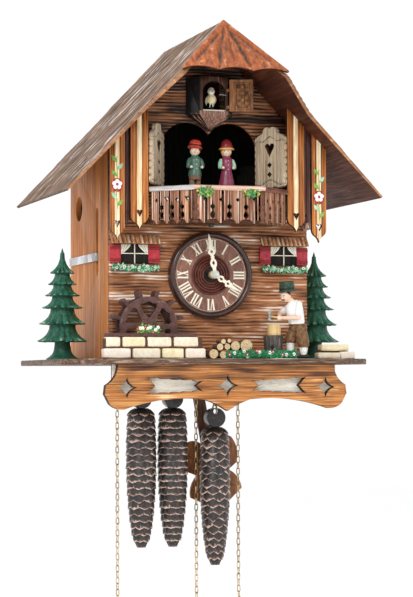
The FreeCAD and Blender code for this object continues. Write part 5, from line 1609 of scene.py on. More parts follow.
def make_bird():
    """Cuckoo with folded wings, on its slide."""
    shape = Shape()
    shape.paint = 0
    shape.blob((-4.0, -21.0, 272.0), (4.6, 5.4, 5.5), n=24)
    shape.paint = 1
    shape.blob((-5.0, -23.8, 279.6), (3.8, 3.9, 4.2), n=24)
    for side in (-1, 1):
        shape.paint = 3
        shape.blob((-5.0 + side * 2.3, -26.7, 280.6), (0.75, 0.6, 0.75), n=12)
        shape.paint = 2
        tip = [Vector((-4.0 + side * 4.2, -21.5 + 3.0 * t, 274.5 - 5.5 * t)) for t in spread(0.0, 1.6, 7)]
        shape.tube(tip, [0.4, 1.5, 2.0, 1.9, 1.5, 0.9, 0.2], 10, flat=0.45, side=(side, 0, 0.2))
    shape.paint = 4
    for lift in (0.4, -0.35):
        shape.tube([(-5.1, -27.0, 279.6 + lift * 0.6), (-5.2, -29.6, 279.4 + lift),
                    (-5.3, -31.2, 279.2 + lift * 1.5)],
                   [1.1, 0.7, 0.2], 8)
    shape.paint = 1
    for x in (-5.5, -2.5):
        shape.tube([(x, -21.4, 262.8), (x, -21.2, 265.5), (x, -21.0, 269.0)], [0.8, 0.7, 1.3], 8)
    shape.paint = 2
    shape.block((-6.5, -17.5, 268.9), (-1.5, -6.0, 271.1))
    # The slide is near-black: painted shade inside the bay.
    shape.paint = 5
    shape.block((-6.0, -24.0, 262.0), (-2.0, 2.0, 263.6))
    piece("cuckoo_bird", shape.mesh(), ("bird", "bird_head", "bird_wing", "black", "cheek", "inside"),
          "cuckoo_bird", ["cuckoo_bird"], 60.0)
    wire = Shape()
    wire.tube([(5.5, -18.5, 277.0), (8.5, -18.5, 277.2), (11.5, -18.5, 277.0), (13.2, -18.5, 276.9),
               (14.2, -17.6, 276.8)],
              0.35, 8)
    piece("door_link", wire.mesh(), ["steel"])


# ---- dancers -------------------------------------------------------------------------------------------
def face_marks(shape, centre, r, eye, mouth, cheek, turn=0.0):
    """Two eyes, a nose, a mouth and cheeks on a head that looks to the front, turned a little to one side."""
    middle = Vector(centre)
    about = Matrix.Rotation(turn, 3, "Z")

    def spot(x, y, z):
        return middle + about @ Vector((x * r, y * r, z * r))
    for side in (-1, 1):
        shape.paint = eye
        shape.blob(spot(side * 0.36, -0.88, 0.12), (0.12 * r, 0.12 * r, 0.12 * r), n=10)
        shape.paint = cheek
        shape.blob(spot(side * 0.52, -0.78, -0.24), (0.2 * r, 0.12 * r, 0.17 * r), n=10)
    shape.paint = mouth
    shape.tube([spot(0.2 * t, -0.93 + 0.05 * t * t, -0.42 + 0.06 * t * t) for t in (-1, -0.4, 0.4, 1)],
               0.06 * r, 6)
    shape.paint = 3
    shape.blob(spot(0.0, -1.0, -0.06), (0.55, 0.5, 0.6), n=8)


def make_doll(name, x, skirt):
    z, y = high("dancer_carousel").z, mid("dancer_carousel").y
    here = Matrix.Translation((x, y, 0.0))
    shape = Shape()
    shape.paint = 2
    if skirt:
        shape.lathe([(0, z), (8.7, z + 0.1), (9.0, z + 1.2), (8.9, z + 5), (8.2, z + 12), (6.9, z + 18),
                     (5.6, z + 24), (0, z + 24)],
                    here, 32)
        shape.lathe([(8.85, z + 2.0), (9.1, z + 2.5), (8.85, z + 3.0)], here, 32)
        for u in (-1.4, -0.9, -0.4, 0.1, 0.6, 1.1):
            shape.tube([(x + math.sin(u * 0.5) * r, y - math.cos(u * 0.5) * (r + 0.1), z + h)
                        for r, h in ((8.9, 4.5), (8.7, 8.0), (8.2, 12.0), (7.4, 16.0), (6.6, 20.0))], 0.35, 6)
    else:
        for side in (-1, 1):
            shape.paint = 5
            shape.blob((x + side * 3.3, y - 1.0, z + 1.4), (2.9, 4.0, 1.5), n=16)
            shape.paint = 2
            shape.tube([(x + side * 3.3, y, z + 1.5), (x + side * 3.3, y, z + 9),
                        (x + side * 3.1, y, z + 17)], [2.6, 2.9, 3.2], 16)
        shape.lathe([(0, z + 13), (6.1, z + 14), (6.6, z + 17), (6.4, z + 20), (5.9, z + 23.5), (0, z + 24)],
                    here, 28)
    shape.paint = 1
    flare = 5.8 if skirt else 7.1
    shape.lathe([(0, z + 18.5), (flare, z + 18.6), (flare - 0.2, z + 22.0), (5.8, z + 26.5), (6.5, z + 32),
                 (6.0, z + 37),
                 (3.4, z + 39.6), (0, z + 40)], here, 28)
    for side in (-1, 1):
        shoulder = Vector((x + side * 5.6, y, z + 36))
        elbow = Vector((x + side * 7.9, y - 2.0, z + 28))
        hand = Vector((x + side * 5.8, y - 6.2, z + 27))
        shape.paint = 8 if skirt else 1
        shape.tube([shoulder, shoulder.lerp(elbow, 0.5) + Vector((side * 0.4, 0, 0)), elbow], [2.2, 2.5, 2.2],
                   12)
        shape.blob(elbow, (2.2, 2.2, 2.2), n=12)
        shape.tube([elbow, elbow.lerp(hand, 0.6)], [2.1, 1.7], 12)
        shape.paint = 3
        shape.blob(hand, (1.7, 1.7, 1.7), n=12)
    for k in range(3):
        shape.paint = 7
        shape.blob((x, y - 6.1 + 0.2 * abs(k - 1), z + 25.5 + 4.6 * k), (0.6, 0.45, 0.6), n=8)
    shape.paint = 3
    head = (x, y, z + 44.3)
    shape.tube([(x, y, z + 38.5), (x, y, z + 41)], 2.3, 14)
    shape.blob(head, (5.2, 5.2, 5.3), n=28)
    face_marks(shape, head, 5.2, 5, 4, 4, -0.35 if skirt else 0.35)
    shape.paint = 6
    if skirt:
        shape.blob((x, y + 1.4, z + 44.6), (5.9, 5.0, 5.2), n=24)
        shape.blob((x, y + 4.6, z + 42.0), (3.6, 3.2, 3.4), n=20)
        shape.paint = 0
        shape.lathe([(0, z + 46.8), (6.6, z + 47.0), (6.6, z + 48.6), (6.2, z + 51.5), (5.0, z + 54.8),
                     (2.8, z + 57.2), (0, z + 58)],
                    here, 32)
        shape.paint = 9
        shape.lathe([(5.6, z + 46.4), (7.9, z + 46.6), (8.2, z + 47.4), (7.8, z + 48.2), (6.4, z + 48.6)],
                    here, 32)
    else:
        shape.blob((x, y + 1.2, z + 45.0), (5.6, 4.9, 4.6), n=24)
        tilt = Matrix.Translation((x, y, z + 48.0)) @ Matrix.Rotation(math.radians(7.0), 4, "Y")
        shape.paint = 0
        shape.lathe([(0, -1.4), (7.4, -1.0), (8.1, -0.2), (7.7, 0.9), (6.7, 1.7), (6.6, 3.2), (5.9, 6.0),
                     (4.0, 8.0), (0, 8.7)],
                    tilt, 32)
        shape.paint = 5
        shape.lathe([(6.55, 1.6), (6.95, 2.0), (6.85, 2.8), (6.5, 3.1)], tilt, 32)
    names = ("dark_red" if skirt else "hat_red", "purple" if skirt else "coat_green",
             "purple" if skirt else "trousers", "face_doll",
             "cheek", "black", "blonde" if skirt else "dark_wood", "white", "mint", "blonde")
    return piece(name, shape.mesh(), names, "dancers", [name], 60.0)


def make_dancers():
    make_doll("dancer_boy", mid("dancer_boy").x, False)
    make_doll("dancer_girl", mid("dancer_girl").x, True)
    softened("dancer_carousel", "dancer_carousel", ["carousel"], 0.8, "dancers")


# ---- yard ----------------------------------------------------------------------------------------------
WHEEL_AXLE = (-74.0, 33.5)


def make_wheel():
    """Water wheel: two rims, six broad spokes that fork at the rim, notched paddles, hub and axle."""
    x, z = WHEEL_AXLE
    shape = Shape()
    petals = []
    for i in range(6):
        a = math.pi / 3 * i
        half = [(-0.1, 9.0), (-0.24, 12.0), (-0.36, 17.0), (-0.41, 22.0), (-0.33, 25.5), (-0.16, 24.2),
                (0.0, 26.2)]
        pts = half + [(-t, r) for t, r in reversed(half[:-1])]
        petals.append([(r * math.sin(a + t), r * math.cos(a + t)) for t, r in pts])
    shape.prism([circle(30.8, 72)] + petals, 0.0, 4.2, front(-21.8, x, z))
    shape.prism([circle(30.8, 72), list(reversed(circle(23.0, 72)))], 0.0, 4.0, front(-8.0, x, z))
    for i in range(12):
        turned = front(-8.0, x, z) @ Matrix.Rotation(math.pi / 6 * i + math.pi / 12, 4, "Z")
        shape.prism([[(-1.8, 24.0), (1.8, 24.0), (1.9, 34.0), (2.4, 38.3), (0.4, 38.6), (-1.9, 37.6)]], 0.2,
                    17.8, turned)
    mesh = applied(shape.mesh(), rounded(0.55, 2))
    hub = Shape()
    hub.lathe([(0, -10.0), (6.0, -10.0), (6.0, 9.2), (5.2, 10.0), (3.2, 10.2), (2.8, 10.9), (1.4, 11.4),
               (0, 11.4)],
              front(-16.5, x, z), 28)
    hub.lathe([(0, 0), (1.5, 0), (1.5, 26.0), (0, 26.0)], front(9.0, x, z), 16)
    mesh = joined(mesh, hub.mesh())

    def tone(p):
        r = math.hypot(p.x - x, p.z - z)
        # The front faces take a high, pale tone and the rest a low one: rubbed paint and painted highlight on
        # the faces turned to the light; the paddle tips a little paler.
        edge = 0.85 if p.y < -25.9 else 0.3
        return edge * (0.75 + 0.3 * wobble(p.x * 3, p.z * 3, 95, 0.15)) + (0.15 if r > 33 else 0.0)
    toned(mesh, tone)
    piece("mill_wheel", mesh, ["wheel"], "mill_wheel", ["mill_wheel"])


def stone_block(shape, x0, x1, y0, y1, z0, z1, seed):
    """A hand-shaped stone: a squared pebble with uneven faces."""
    start = len(shape.points)
    shape.block((x0, y0, z0), (x1, y1, z1), 0.2, 40)
    centre = Vector(((x0 + x1) / 2, (y0 + y1) / 2, (z0 + z1) / 2))
    for i in range(start, len(shape.points)):
        p = shape.points[i]
        dent = 1.0 - 0.06 * (1 + wobble(p.x + p.y, p.z, seed, 0.35))
        shape.points[i] = centre + Vector(((p.x - centre.x) * (1 - 0.35 * (1 - dent)),
                                           (p.y - centre.y) * dent, (p.z - centre.z) * dent))
        shape.tones[i] = 0.55 + 0.3 * wobble(p.x * 2, p.z * 2, seed + 3,
                                             0.2) - (0.3 if p.z < z0 + 1.2 else 0.0)


def make_stones():
    shape = Shape()
    courses = ((0.0, 10.8, -49.0, (-128.0, -98.9, -97.3, -67.6, -66.0, -42.8, -40.9, -19.3)),
               (11.7, 22.5, -46.5, (-125.0, -109.5, -108.0, -83.0, -81.5, -55.2, -53.6, -26.5)))
    seed = 0
    for z0, z1, y, ends in courses:
        for x0, x1 in zip(ends[::2], ends[1::2]):
            seed += 1
            shape.paint = (0, 1, 0, 2, 1, 0, 2, 0)[seed % 8]
            stone_block(shape, x0, x1, y, y + 13.0, z0, z1, seed)
    for x0, x1, z0, z1, y in ((112, 138, 0.0, 6.8, -26), (139, 156, 0.0, 8.0, -22),
                              (118, 150, 8.2, 15.5, -20)):
        seed += 1
        shape.paint = seed % 3
        stone_block(shape, x0, x1, y, y + 14, z0, z1, seed)
    shape.paint = 3
    shape.block((-126.0, -45.2, 0.2), (-22.0, -34.5, 21.4), 0.1, 32)
    shape.block((116.0, -16.0, 6.0), (150.0, -9.0, 9.5), 0.3, 24)
    piece("stone_wall", shape.mesh(), ("stone", "stone_pink", "stone_yellow", "mortar"), "clock",
          ["stone_wall"],
          60.0)


def log_shape(shape, x, z, r, y0, y1, seed):
    """A billet with rough bark and sawn ends."""
    n = 28
    rings = []
    for t in spread(0.0, 1.0, 9):
        y = y0 + (y1 - y0) * t
        ring = []
        for i in range(n):
            a = 2 * math.pi * i / n
            rough = 0.94 + 0.06 * wobble(6 * math.cos(a), 6 * math.sin(a) + y * 0.2, seed, 0.5)
            ring.append((x + r * rough * math.cos(a), y, z + r * rough * math.sin(a)))
        rings.append(ring)
    shape.paint = 0
    shape.rings(rings, caps=False)
    shape.paint = 1
    for ring, y, out in ((rings[0], y0, -1), (rings[-1], y1, 1)):
        inner = [(x + (p[0] - x) * 0.86, y - out * 0.15, z + (p[2] - z) * 0.86) for p in ring]
        middle = [(x + (p[0] - x) * 0.3, y - out * 0.1, z + (p[2] - z) * 0.3) for p in ring]
        shape.rings([ring, inner, middle], caps=False)
        shape.add_face(*[shape.add_points([p]) for p in middle])


def make_logs():
    shape = Shape()
    ends = [(-10.0, 5.0, 5.0), (0.4, 4.1, 4.0), (-3.2, 12.2, 3.6), (0.2, 17.7, 2.6), (6.6, 18.5, 2.1),
            (4.7, 12.4, 3.3),
            (13.6, 13.1, 5.2), (25.9, 13.3, 6.8), (10.0, 3.9, 3.8), (18.5, 3.6, 3.5), (26.5, 3.0, 2.9),
            (33.5, 4.0, 3.9)]
    for k, (x, z, r) in enumerate(ends):
        log_shape(shape, x, z, r, -47.0 + 0.4 * r, -27.0 - 0.3 * r, k)
    piece("log_pile", shape.mesh(), ["bark", "log_end"], "clock", ["log_pile"])


def make_hedge():
    """Low hedge of small leaves with red and white blooms."""
    shape = Shape()
    rng = random.Random(31)
    lo, hi = low("hedge"), high("hedge")
    shape.paint = 5
    for x in spread(lo.x + 5, hi.x - 5, 16):
        shape.blob((x, -59.0, 4.2), (5.0, 3.0, 4.4), n=12)
    for x in spread(lo.x + 4, hi.x - 4, 24):
        tuft(shape, front(-61.4), x, 4.6 + rng.uniform(-0.6, 0.6), 6.5, 7.0, int(x * 10), 14, 0.1)
    for k in range(16):
        x = lo.x + 4 + (hi.x - lo.x - 8) * k / 15
        if k % 3 == 2:
            continue
        blossom(shape, (x + rng.uniform(-1, 1), -62.6, 5.2 + rng.uniform(-2.4, 2.6)), 1.8, 3 if k % 2 else 4,
                4 if k % 2 else 3)
    piece("hedge", shape.mesh(), ("green", "hedge", "mint", "white", "red", "hedge"), "clock", ["hedge"])


def make_trough():
    """A plank on top of the wall, with a sprig of flowers."""
    shape = Shape()
    shape.paint = 0
    shape.prism([rect(-124.5, 22.4, -27.5, 26.0)], 0.0, 9.5, front(-35.5))
    mesh = applied(shape.mesh(), rounded(0.8, 2))
    toned(mesh, lambda p: 0.5 + 0.4 * wobble(p.x * 0.3, p.z * 6, 97, 0.1))
    piece("wall_plank", mesh, ["wheel"])
    sprig = Shape()
    tuft(sprig, front(-42.5), -80.0, 29.2, 26.0, 8.5, 77, 110, 0.3)
    rng = random.Random(5)
    for k in range(9):
        blossom(sprig, (-91.0 + 2.7 * k, -44.2, 29.2 + rng.uniform(-2.4, 3.2)), 1.8, 3 if k % 3 else 4, 2)
    piece("wall_flowers", sprig.mesh(), ("green", "leaf", "yellow", "white", "red"))


def bark_ring(x, r, z, dip, seed, scale, twist=0.0, split=0.0):
    """One ring of rough hide: how far it dips, twists with height and waves at a split end."""
    ring = []
    for i in range(40):
        a = 2 * math.pi * i / 40
        rough = r * (1 - dip * (1 + wobble(9 * math.cos(a), 9 * math.sin(a) + z * twist, seed, scale)))
        ring.append((x + rough * math.cos(a), -41.0 + rough * math.sin(a), z + split * math.sin(3 * a)))
    return ring


def make_block():
    """Stump with a rough hide, and the billet that is being split on it."""
    shape = Shape()
    profile = [(12.2, 0.0), (11.2, 3.0), (10.6, 8.0), (10.3, 14.0), (10.6, 20.0), (11.2, 23.4), (10.4, 24.2)]
    shape.rings([bark_ring(56.6, r, z, 0.07, 3, 0.55, twist=0.12) for r, z in profile])
    shape.paint = 2
    shape.tube([(52.0, -51.3, 12.5), (52.0, -50.6, 12.5)], [1.7, 2.3], 12)
    shape.paint = 1
    billet = [(7.2, 24.0), (7.1, 27.0), (7.2, 32.0), (6.9, 35.3)]
    shape.rings([bark_ring(57.4, r, z, 0.04, 6, 0.6, split=0.3) for r, z in billet])
    piece("chopping_block", applied(shape.mesh(), rounded(0.4, 2, 50.0)), ["stump", "billet", "black"],
          "clock", ["chopping_block"])


WOODCUTTER = ("hat_green", "white", "leather", "face", "cheek", "black", "dark_wood")


def make_woodcutter():
    """A stout woodcutter of no particular likeness: felt hat, white shirt, leather breeches, white socks."""
    y = -42.0
    shape = Shape()
    for side, x, back, toe, hem, hip in ((1, 76.5, 5.0, 6.0, 17.0, 80.5), (-1, 88.0, 6.5, 8.0, 12.0, 85.5)):
        foot = y + side * 4.5
        shape.paint = 5
        shape.blob((x + (back - toe) / 2, foot, 2.0), ((back + toe) / 2, 2.9, 2.0), n=20, power=0.75)
        shape.blob((x + 1.0, foot, 3.4), (3.7, 2.9, 2.1), n=16)
        shape.paint = 1
        shape.tube([(x, foot, 4.0), (x, foot, 6.5), (x, foot, hem - 2.5), (x, foot, hem + 0.6)],
                   [2.9, 3.7, 4.2, 3.8], 18)
        shape.lathe([(3.8, hem - 2.6), (4.5, hem - 2.0), (4.5, hem - 0.8), (3.9, hem - 0.2)],
                    Matrix.Translation((x, foot, 0)), 18)
        shape.paint = 2
        knee = (x + (hip - x) * 0.4, foot, hem + (30.0 - hem) * 0.4)
        shape.tube([(x, foot, hem), (x, foot, hem + 2.0), knee, (hip, y + side * 3.2, 28.0),
                    (hip, y + side * 2.6, 33.0)],
                   [5.4, 6.2, 6.7, 6.8, 5.6], 20)
    shape.blob((83.0, y, 32.8), (8.5, 8.6, 7.8), n=28)
    shape.paint = 1
    lean = Vector((-4.0, 0.0, 24.0)).normalized()
    base = Vector((82.6, y, 34.5))
    shape.tube([base, base + lean * 4, base + lean * 10, base + lean * 17, base + lean * 22,
                base + lean * 26.5],
               [7.6, 8.5, 8.8, 9.1, 8.4, 4.2], 28, side=(0, 1, 0))
    shape.paint = 2
    shape.tube([base + Vector((8.2 * math.cos(a), 8.2 * math.sin(a), 0.6))
                for a in spread(0.0, 2 * math.pi, 30)[:-1]], 1.0, 8,
               closed=True)
    shape.paint = 3
    shape.tube([(78.2, y, 57.5), (75.0, y, 61.0), (71.8, y, 63.5)], [3.8, 3.3, 3.0], 16)
    turned = Matrix.Rotation(0.55, 3, "Z") @ Matrix.Rotation(-0.35, 3, "Y")
    head = Vector((70.0, y, 65.0))
    shape.blob(head, (5.6, 5.6, 6.0), n=30)

    def on_face(side, out, up):
        """A point on the head, which looks down to the left and a little to the front."""
        return head + turned @ Vector((-out, -side, up))
    shape.blob(on_face(0, 5.9, -0.2), (0.9, 0.9, 1.2), n=10)
    for side in (-1, 1):
        shape.paint = 3
        shape.blob(on_face(side * 5.4, -0.4, -0.2), (1.0, 0.7, 1.5), n=10)
        shape.paint = 1
        shape.blob(on_face(side * 2.0, 4.9, 1.1), (0.8, 0.8, 0.6), n=10)
        shape.paint = 5
        shape.blob(on_face(side * 2.0, 5.5, 1.0), (0.4, 0.4, 0.45), n=8)
        shape.paint = 6
        shape.tube([on_face(side * 1.1, 5.5, 2.2), on_face(side * 2.1, 5.3, 2.5),
                    on_face(side * 3.1, 4.7, 2.2)], 0.26, 6)
    shape.paint = 4
    shape.tube([on_face(-1.2, 5.1, -3.2), on_face(0, 5.4, -3.3), on_face(1.2, 5.1, -3.2)], 0.3, 6)
    shape.paint = 6
    shape.tube([on_face(-2.6, 4.8, -2.7), on_face(-1.2, 5.5, -2.0), on_face(0, 5.8, -1.8),
                on_face(1.2, 5.5, -2.0),
                on_face(2.6, 4.8, -2.7)], [0.3, 0.7, 0.6, 0.7, 0.3], 8)
    shape.blob(on_face(0.0, -1.5, 0.9), (5.0, 5.7, 5.4), n=24)
    shape.paint = 0
    hat = Matrix.Translation((72.0, y, 70.5)) @ Matrix.Rotation(-math.radians(6), 4, "Y")
    shape.lathe([(0, -1.2), (8.6, -0.9), (9.5, -0.2), (9.3, 0.5), (8.5, 0.9), (8.2, 1.8), (8.0, 5.5),
                 (7.7, 8.8), (7.0, 10.0),
                 (5.2, 10.4), (0, 10.2)], hat, 36)
    shape.paint = 5
    shape.lathe([(8.1, 1.3), (8.55, 1.7), (8.45, 3.1), (8.1, 3.4)], hat, 36)
    piece("woodcutter_body", shape.mesh(), WOODCUTTER, "clock", ["woodcutter_body"], 60.0)
    arms = Shape()
    pivot = Vector((80.0, y, 56.0))
    hands = Vector((63.3, y, 42.4))
    arms.paint = 1
    arms.tube([pivot + Vector((0, -14.8, 0)), pivot + Vector((0, 14.8, 0))], 1.45, 14)
    for side, x, z in ((-1, 79.0, 42.5), (1, 68.5, 47.0)):
        out = pivot + Vector((0, side * 13.2, 0))
        elbow = Vector((x, y + side * 13.2, z))
        arms.paint = 1
        arms.blob(out, (3.4, 3.4, 3.4), n=18)
        arms.tube([out, out.lerp(elbow, 0.5), out.lerp(elbow, 0.78)], [3.2, 3.4, 3.3], 18)
        arms.lathe([(2.5, -0.6), (3.5, 0.0), (3.6, 1.2), (2.6, 1.8)],
                   Matrix.Translation(out.lerp(elbow, 0.72)) @
                   (elbow - out).to_track_quat("Z", "Y").to_matrix().to_4x4(), 18)
        arms.paint = 3
        arms.tube([out.lerp(elbow, 0.7), elbow], [2.5, 2.7], 14)
        arms.blob(elbow, (2.7, 2.7, 2.7), n=16)
        wrist = hands + Vector((0, side * 1.8, 0))
        arms.tube([elbow, elbow.lerp(wrist, 0.4), wrist], [2.5, 2.4, 1.8], 14)
        arms.blob(hands + Vector((side * 0.9, side * 1.5, -side * 0.15)), (2.5, 1.9, 2.6), n=16)
    arms.paint = 7
    arms.tube([(66.0, y, 42.0), (60.0, y, 43.0), (51.0, y, 44.4)], [1.0, 1.1, 1.2], 12)
    blade = [(49.6, 39.8), (51.5, 39.2), (54.0, 39.0), (53.0, 41.8), (52.8, 44.0), (53.2, 46.4), (54.4, 49.2),
             (51.8, 49.0),
             (49.9, 48.4), (50.6, 46.2), (50.9, 44.0), (50.5, 41.8)]
    axe = Shape()
    axe.prism([blade], -1.6, 1.6, front(y))
    axe.paints = [8] * len(axe.faces)
    mesh = joined(arms.mesh(), applied(axe.mesh(), rounded(0.5)))
    piece("woodcutter_arms", mesh, WOODCUTTER + ("billet", "grey"), "woodcutter_arms", ["woodcutter_arms"],
          60.0)


def tree_tier(shape, x, y, top, foot, r, seed, last):
    """One tier of boughs: a trumpet that ends in sharp, upturned bough tips over a flat underside."""
    n = 14 * 6
    rows, tones = [], []
    base = (0.16 if last else 0.48) * r
    for t in (0.0, 0.3, 0.55, 0.74, 0.87, 0.95, 1.0):
        ring, row = [], []
        for i in range(n):
            a = 2 * math.pi * i / n
            bough = abs(2 * ((i / 6.0 + seed * 0.37) % 1.0) - 1.0)
            reach = (base + (r - base) * t**2.5) * (1.0 - 0.3 * t**3 * (1.0 - bough))
            ripple = wobble(9 * math.cos(a), 9 * math.sin(a), seed, 0.4)
            z = top - (top - foot) * t + t**6 * (1.7 * bough + 0.7 * ripple)
            ring.append((x + reach * math.cos(a), y + reach * math.sin(a), z))
            row.append(0.36 + 0.62 * t**3 * bough + 0.34 * wobble(20 * math.cos(a), 20 * math.sin(a) + t * 9,
                                                                  seed + 5, 0.5)
                       - 0.2 * (1.0 - bough) * t)
        rows.append(ring)
        tones.append(row)
    under = [[(x + (p[0] - x) * 0.93, y + (p[1] - y) * 0.93, foot + 0.3) for p in rows[-1]],
             [(x + (p[0] - x) * 0.3, y + (p[1] - y) * 0.3, foot + 1.0) for p in rows[-1]]]
    first = len(shape.tones)
    shape.rings(rows + under)
    flat = [t for row in tones for t in row] + [0.05] * (2 * n)
    shape.tones[first:first + len(flat)] = [max(0.0, min(1.0, t)) for t in flat]


def make_trees():
    tiers = [(18.5, 28.4), (37.0, 25.8), (54.0, 22.4), (67.0, 19.8), (79.0, 16.4), (91.0, 13.9), (112.0, 0.0)]
    for name in ("pine_tree_left", "pine_tree_right"):
        centre = mid(name)
        shape = Shape()
        for k in range(6):
            foot, r = tiers[k]
            tree_tier(shape, centre.x, centre.y, tiers[k + 1][0] + 1.2, foot, r,
                      k + (3 if "left" in name else 8), k == 5)
        shape.tone = 0.3
        trunk = [(17.4, 0.0), (17.2, 1.2), (14.0, 3.2), (11.0, 6.0), (9.4, 9.4), (8.4, 16.0), (7.6, 30.0),
                 (4.4, 75.0), (2.2, 110.0),
                 (1.2, 115.0), (0.0, 118.8)]
        shape.lathe(trunk, Matrix.Translation((centre.x, centre.y, 0.0)), 36)
        piece(name, shape.mesh(), ["tree"], "clock", [name], 50.0)


# ---- weights and pendulum ------------------------------------------------------------------------------
CONE_LENGTH = 146.0
CONE_RADIUS = 16.6
CONE_Y = 22.0


def cone_radius(t):
    """Radius of a cone at t of its length, rounded at both ends."""
    ends = max(0.0, (t - 0.93) / 0.07) ** 2 * 0.8 + max(0.0, (0.05 - t) / 0.05) ** 2 * 0.6
    swell = math.sqrt(max(0.05, 1.0 - ((t - 0.35) / 0.72) ** 2))
    return CONE_RADIUS * swell * math.sqrt(1.0 - min(0.9, ends))


def cone_scale(shape, x, top, t, angle, wide, long, point, bright):
    """One scale of a cone: it starts flat, swells, and ends in a proud margin that dips to a point."""
    # Tones along a scale: low where it tucks under the scale above and under its own margin, painted shade
    # between the scales; high on the swell and the proud margin, partly rubbed metal and partly painted
    # highlight.
    profile = ((-0.35, 1.0, -2.8, 0.05), (0.05, 1.0, -1.7, 0.2), (0.4, 1.0, -0.9, 0.42),
               (0.66, 1.0, -0.35, 0.62),
               (0.84, 0.98, -0.1, 0.78), (0.94, 0.96, 0.0, 0.95), (1.0, 0.92, -0.45, 1.0),
               (0.97, 0.92, -1.6, 0.12),
               (0.8, 0.95, -3.0, 0.0))
    rows = []
    tones = []
    for k, (down, half, lift, tone) in enumerate(profile):
        sink = 0.3 + 0.7 * max(0.0, min(1.0, down))
        ring = []
        for s in spread(-1.0, 1.0, 9):
            z = top - CONE_LENGTH * t - long * (down - 0.5) + point * (abs(s) - 0.5) * sink
            z = max(top - CONE_LENGTH + 0.2, min(top - 0.2, z))
            r = cone_radius(min(0.99, max(0.0, (top - z) / CONE_LENGTH)))
            a = angle + s * half * wide / 2 / max(r, 5.0)
            reach = max(1.0, r + lift - 1.2 * abs(s) ** 2.2)
            ring.append((x + reach * math.sin(a), CONE_Y - reach * math.cos(a), z))
            # Lighter irregular patches on the middle rows: painted highlight.
            patch = 0.34 * wobble(3.0 * s + 9.0 * angle, 40.0 * t + k, 17, 1.7)
            tones.append(max(0.0, min(1.0, (tone + patch * (2 <= k <= 6)) * bright)))
        rows.append(ring)
    first = len(shape.tones)
    shape.rings(rows, closed=False, caps=False)
    shape.tones[first:first + len(tones)] = tones


def make_weight(train, x, top, rows, count, point):
    shape = Shape()
    # The core between the scales is toned dark: painted shade.
    shape.tone = 0.12
    core = [(0.0, top), (7.5, top)] + [(cone_radius(t) - 2.4, top - CONE_LENGTH * t)
                                       for t in spread(0.02, 0.985, 30)]
    core += [(4.0, top - CONE_LENGTH + 0.6), (0.0, top - CONE_LENGTH + 0.3)]
    shape.lathe(core, Matrix.Translation((x, CONE_Y, 0.0)), 32)
    for i in range(rows):
        t = (i + 0.35) / rows
        r = cone_radius(t)
        wide = 2 * math.pi * r / count * 1.06
        for k in range(count):
            angle = 2 * math.pi * (k + 0.5 * (i % 2)) / count + 0.06 * wobble(i * 3, k * 5, 7, 0.6)
            odd = wobble(i * 7, k * 11, 13, 0.9)
            cone_scale(shape, x, top, t, angle, wide, CONE_LENGTH / rows * (1.42 + 0.08 * odd),
                       point * (1.0 + 0.45 * wobble(i * 5, k * 3, 19, 1.1)) * min(1.0, r / 13.0),
                       0.9 + 0.2 * odd)
    shape.tone = 0.3
    cone = shape.mesh(recalculate=False)
    knob = Shape()
    knob.tone = 0.35
    eye = top + 16.6
    knob.prism([circle(10.3, 40), list(reversed([(u, v + 6.6) for u, v in circle(3.2, 20)]))], -6.0, 6.0,
               front(CONE_Y, x, top + 10.0))
    body = applied(knob.mesh(), rounded(2.6, 4, 50.0))
    wire = Shape()
    wire.paint = 1
    hook = [(x, CONE_Y + 7.6 * math.cos(a), eye + 7.6 * math.sin(a)) for a in spread(-1.43, 3.28, 22)]
    wire.tube(hook, 1.0, 10, side=(1, 0, 0))
    chain_links(wire, [Vector((x, CONE_Y, eye + 6.6)), Vector((x, CONE_Y, high(train + "_weight").z))])
    piece(train + "_weight", joined(cone, body, wire.mesh()), ["iron", "brass"], train + "_weight",
          [train + "_weight"], 30.0)


def make_weights():
    for train, rows, count, point in (("time", 21, 7, 3.6), ("strike", 21, 7, 1.0), ("music", 21, 7, 2.4)):
        node = train + "_weight"
        make_weight(train, mid(node).x, low(node).z + CONE_LENGTH, rows, count, point)


PENDULUM_PIVOT = Vector((-24.0, 46.5, 118.0))
PENDULUM_LEAN = 10.0
PENDULUM_DROP = 246.0


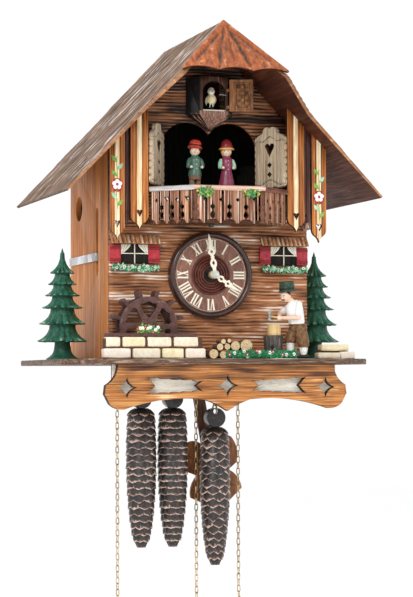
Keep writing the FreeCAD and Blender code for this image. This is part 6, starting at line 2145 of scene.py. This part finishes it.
def make_pendulum():
    softened("pendulum_rod", "pendulum_rod", ["dark_wood"], 0.5, "pendulum")
    lean = math.radians(PENDULUM_LEAN)
    u_axis = Vector((math.cos(lean), 0.0, math.sin(lean)))
    v_axis = Vector((-math.sin(lean), 0.0, math.cos(lean)))
    origin = PENDULUM_PIVOT - v_axis * PENDULUM_DROP

    def depth(u, v):
        deep = 1.5 * math.exp(-(u / 0.8) ** 2) if v < 30 else 0.0
        for side in (-1, 1):
            for a, b in (((0, -2), (26, 30)), ((0, -8), (27, -16)), ((0, 12), (10, 34))):
                ax, ay = side * b[0], b[1] - a[1]
                size = math.hypot(ax, ay)
                t = (u * ax + (v - a[1]) * ay) / size**2
                if 0 < t < 1:
                    off = abs(u * ay - (v - a[1]) * ax) / size
                    deep = max(deep, (1.3 - 0.6 * t) * math.exp(-(off / 0.8) ** 2))
        return min(2.0, deep + 0.25 * (1 + wobble(u, v, 121, 0.25)) + 0.35 * groove((u + v * 0.5) / 3.4, 2.0))

    def tone(u, v, d):
        return 0.66 - 0.4 * d + 0.2 * wobble(u, v, 125, 0.1) if d < 2.3 else 0.4
    relief("pendulum_bob", "pendulum_bob", place(origin, u_axis, v_axis), spread(-34.0, 34.0, 80),
           spread(-42.0, 44.0, 90), depth,
           ["leaf_wood"], tone, body="pendulum", back=9.0)


# ---- the rest of the case ------------------------------------------------------------------------------
def make_case():
    plate = applied(node_mesh("base_plate"), rounded(1.3, 3, 30.0))
    toned(plate, lambda p: 0.6 + 0.4 * wobble(p.x * 0.5, p.z * 9, 131, 0.08) + (0.12 if p.z > -0.2 else -0.1))
    piece("base_plate", plate, ["base"], "clock", ["base_plate"])
    for node in ("case_side_left", "case_side_right"):
        board = applied(node_mesh(node), rounded(0.6))
        # Inner faces take the near-black inside finish: painted shade inside the case.
        repaint(board, lambda p, normal: 1 if abs(p.x) < 105.0 else None)
        piece(node, board, ["side", "inside"], "clock", [node])
    backing = applied(node_mesh("frieze_backing"), rounded(0.3))
    # The backing's ends beyond the frieze board are painted dark: painted shade.
    repaint(backing, lambda p, normal: 1 if abs(p.x) > 114.0 else None)
    piece("frieze_backing", backing, ["cream_wood", "burnt"], "clock", ["frieze_backing"])
    softened("silence_lever", "silence_lever", ["steel"], 0.3, "silence_lever")
    softened("balcony_floor", "balcony_floor", ["dark_wood"], 0.5, "clock")
    # The back cover and bellows take the near-black inside finish: painted shade inside the case.
    made = {"back_cover": "inside", "wall_hanger": "steel",
            "movement_frame": "plate_brass", "music_box": "plate_brass", "bellows_boxes": "inside"}
    for train in TRAINS:
        made[train + "_sprocket"] = "plate_brass"
        made[train + "_pull_ring"] = "brass_wire"
    for name, recipe in made.items():
        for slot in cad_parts[name].material_slots:
            slot.material = finish(recipe)


# ---- making --------------------------------------------------------------------------------------------
make_camera()
make_stage()
make_chains()
for job in (make_case, make_siding, make_roof, make_hip, make_frieze, make_drop_boards, make_board_flowers,
            make_returns,
            make_shutters, make_railing, make_windows, make_awnings, make_flower_boxes, make_dial, make_hands,
            make_bay,
            make_door, make_bird, make_dancers, make_wheel, make_stones, make_logs, make_hedge, make_trough,
            make_block,
            make_woodcutter, make_trees, make_weights, make_pendulum):
    job()
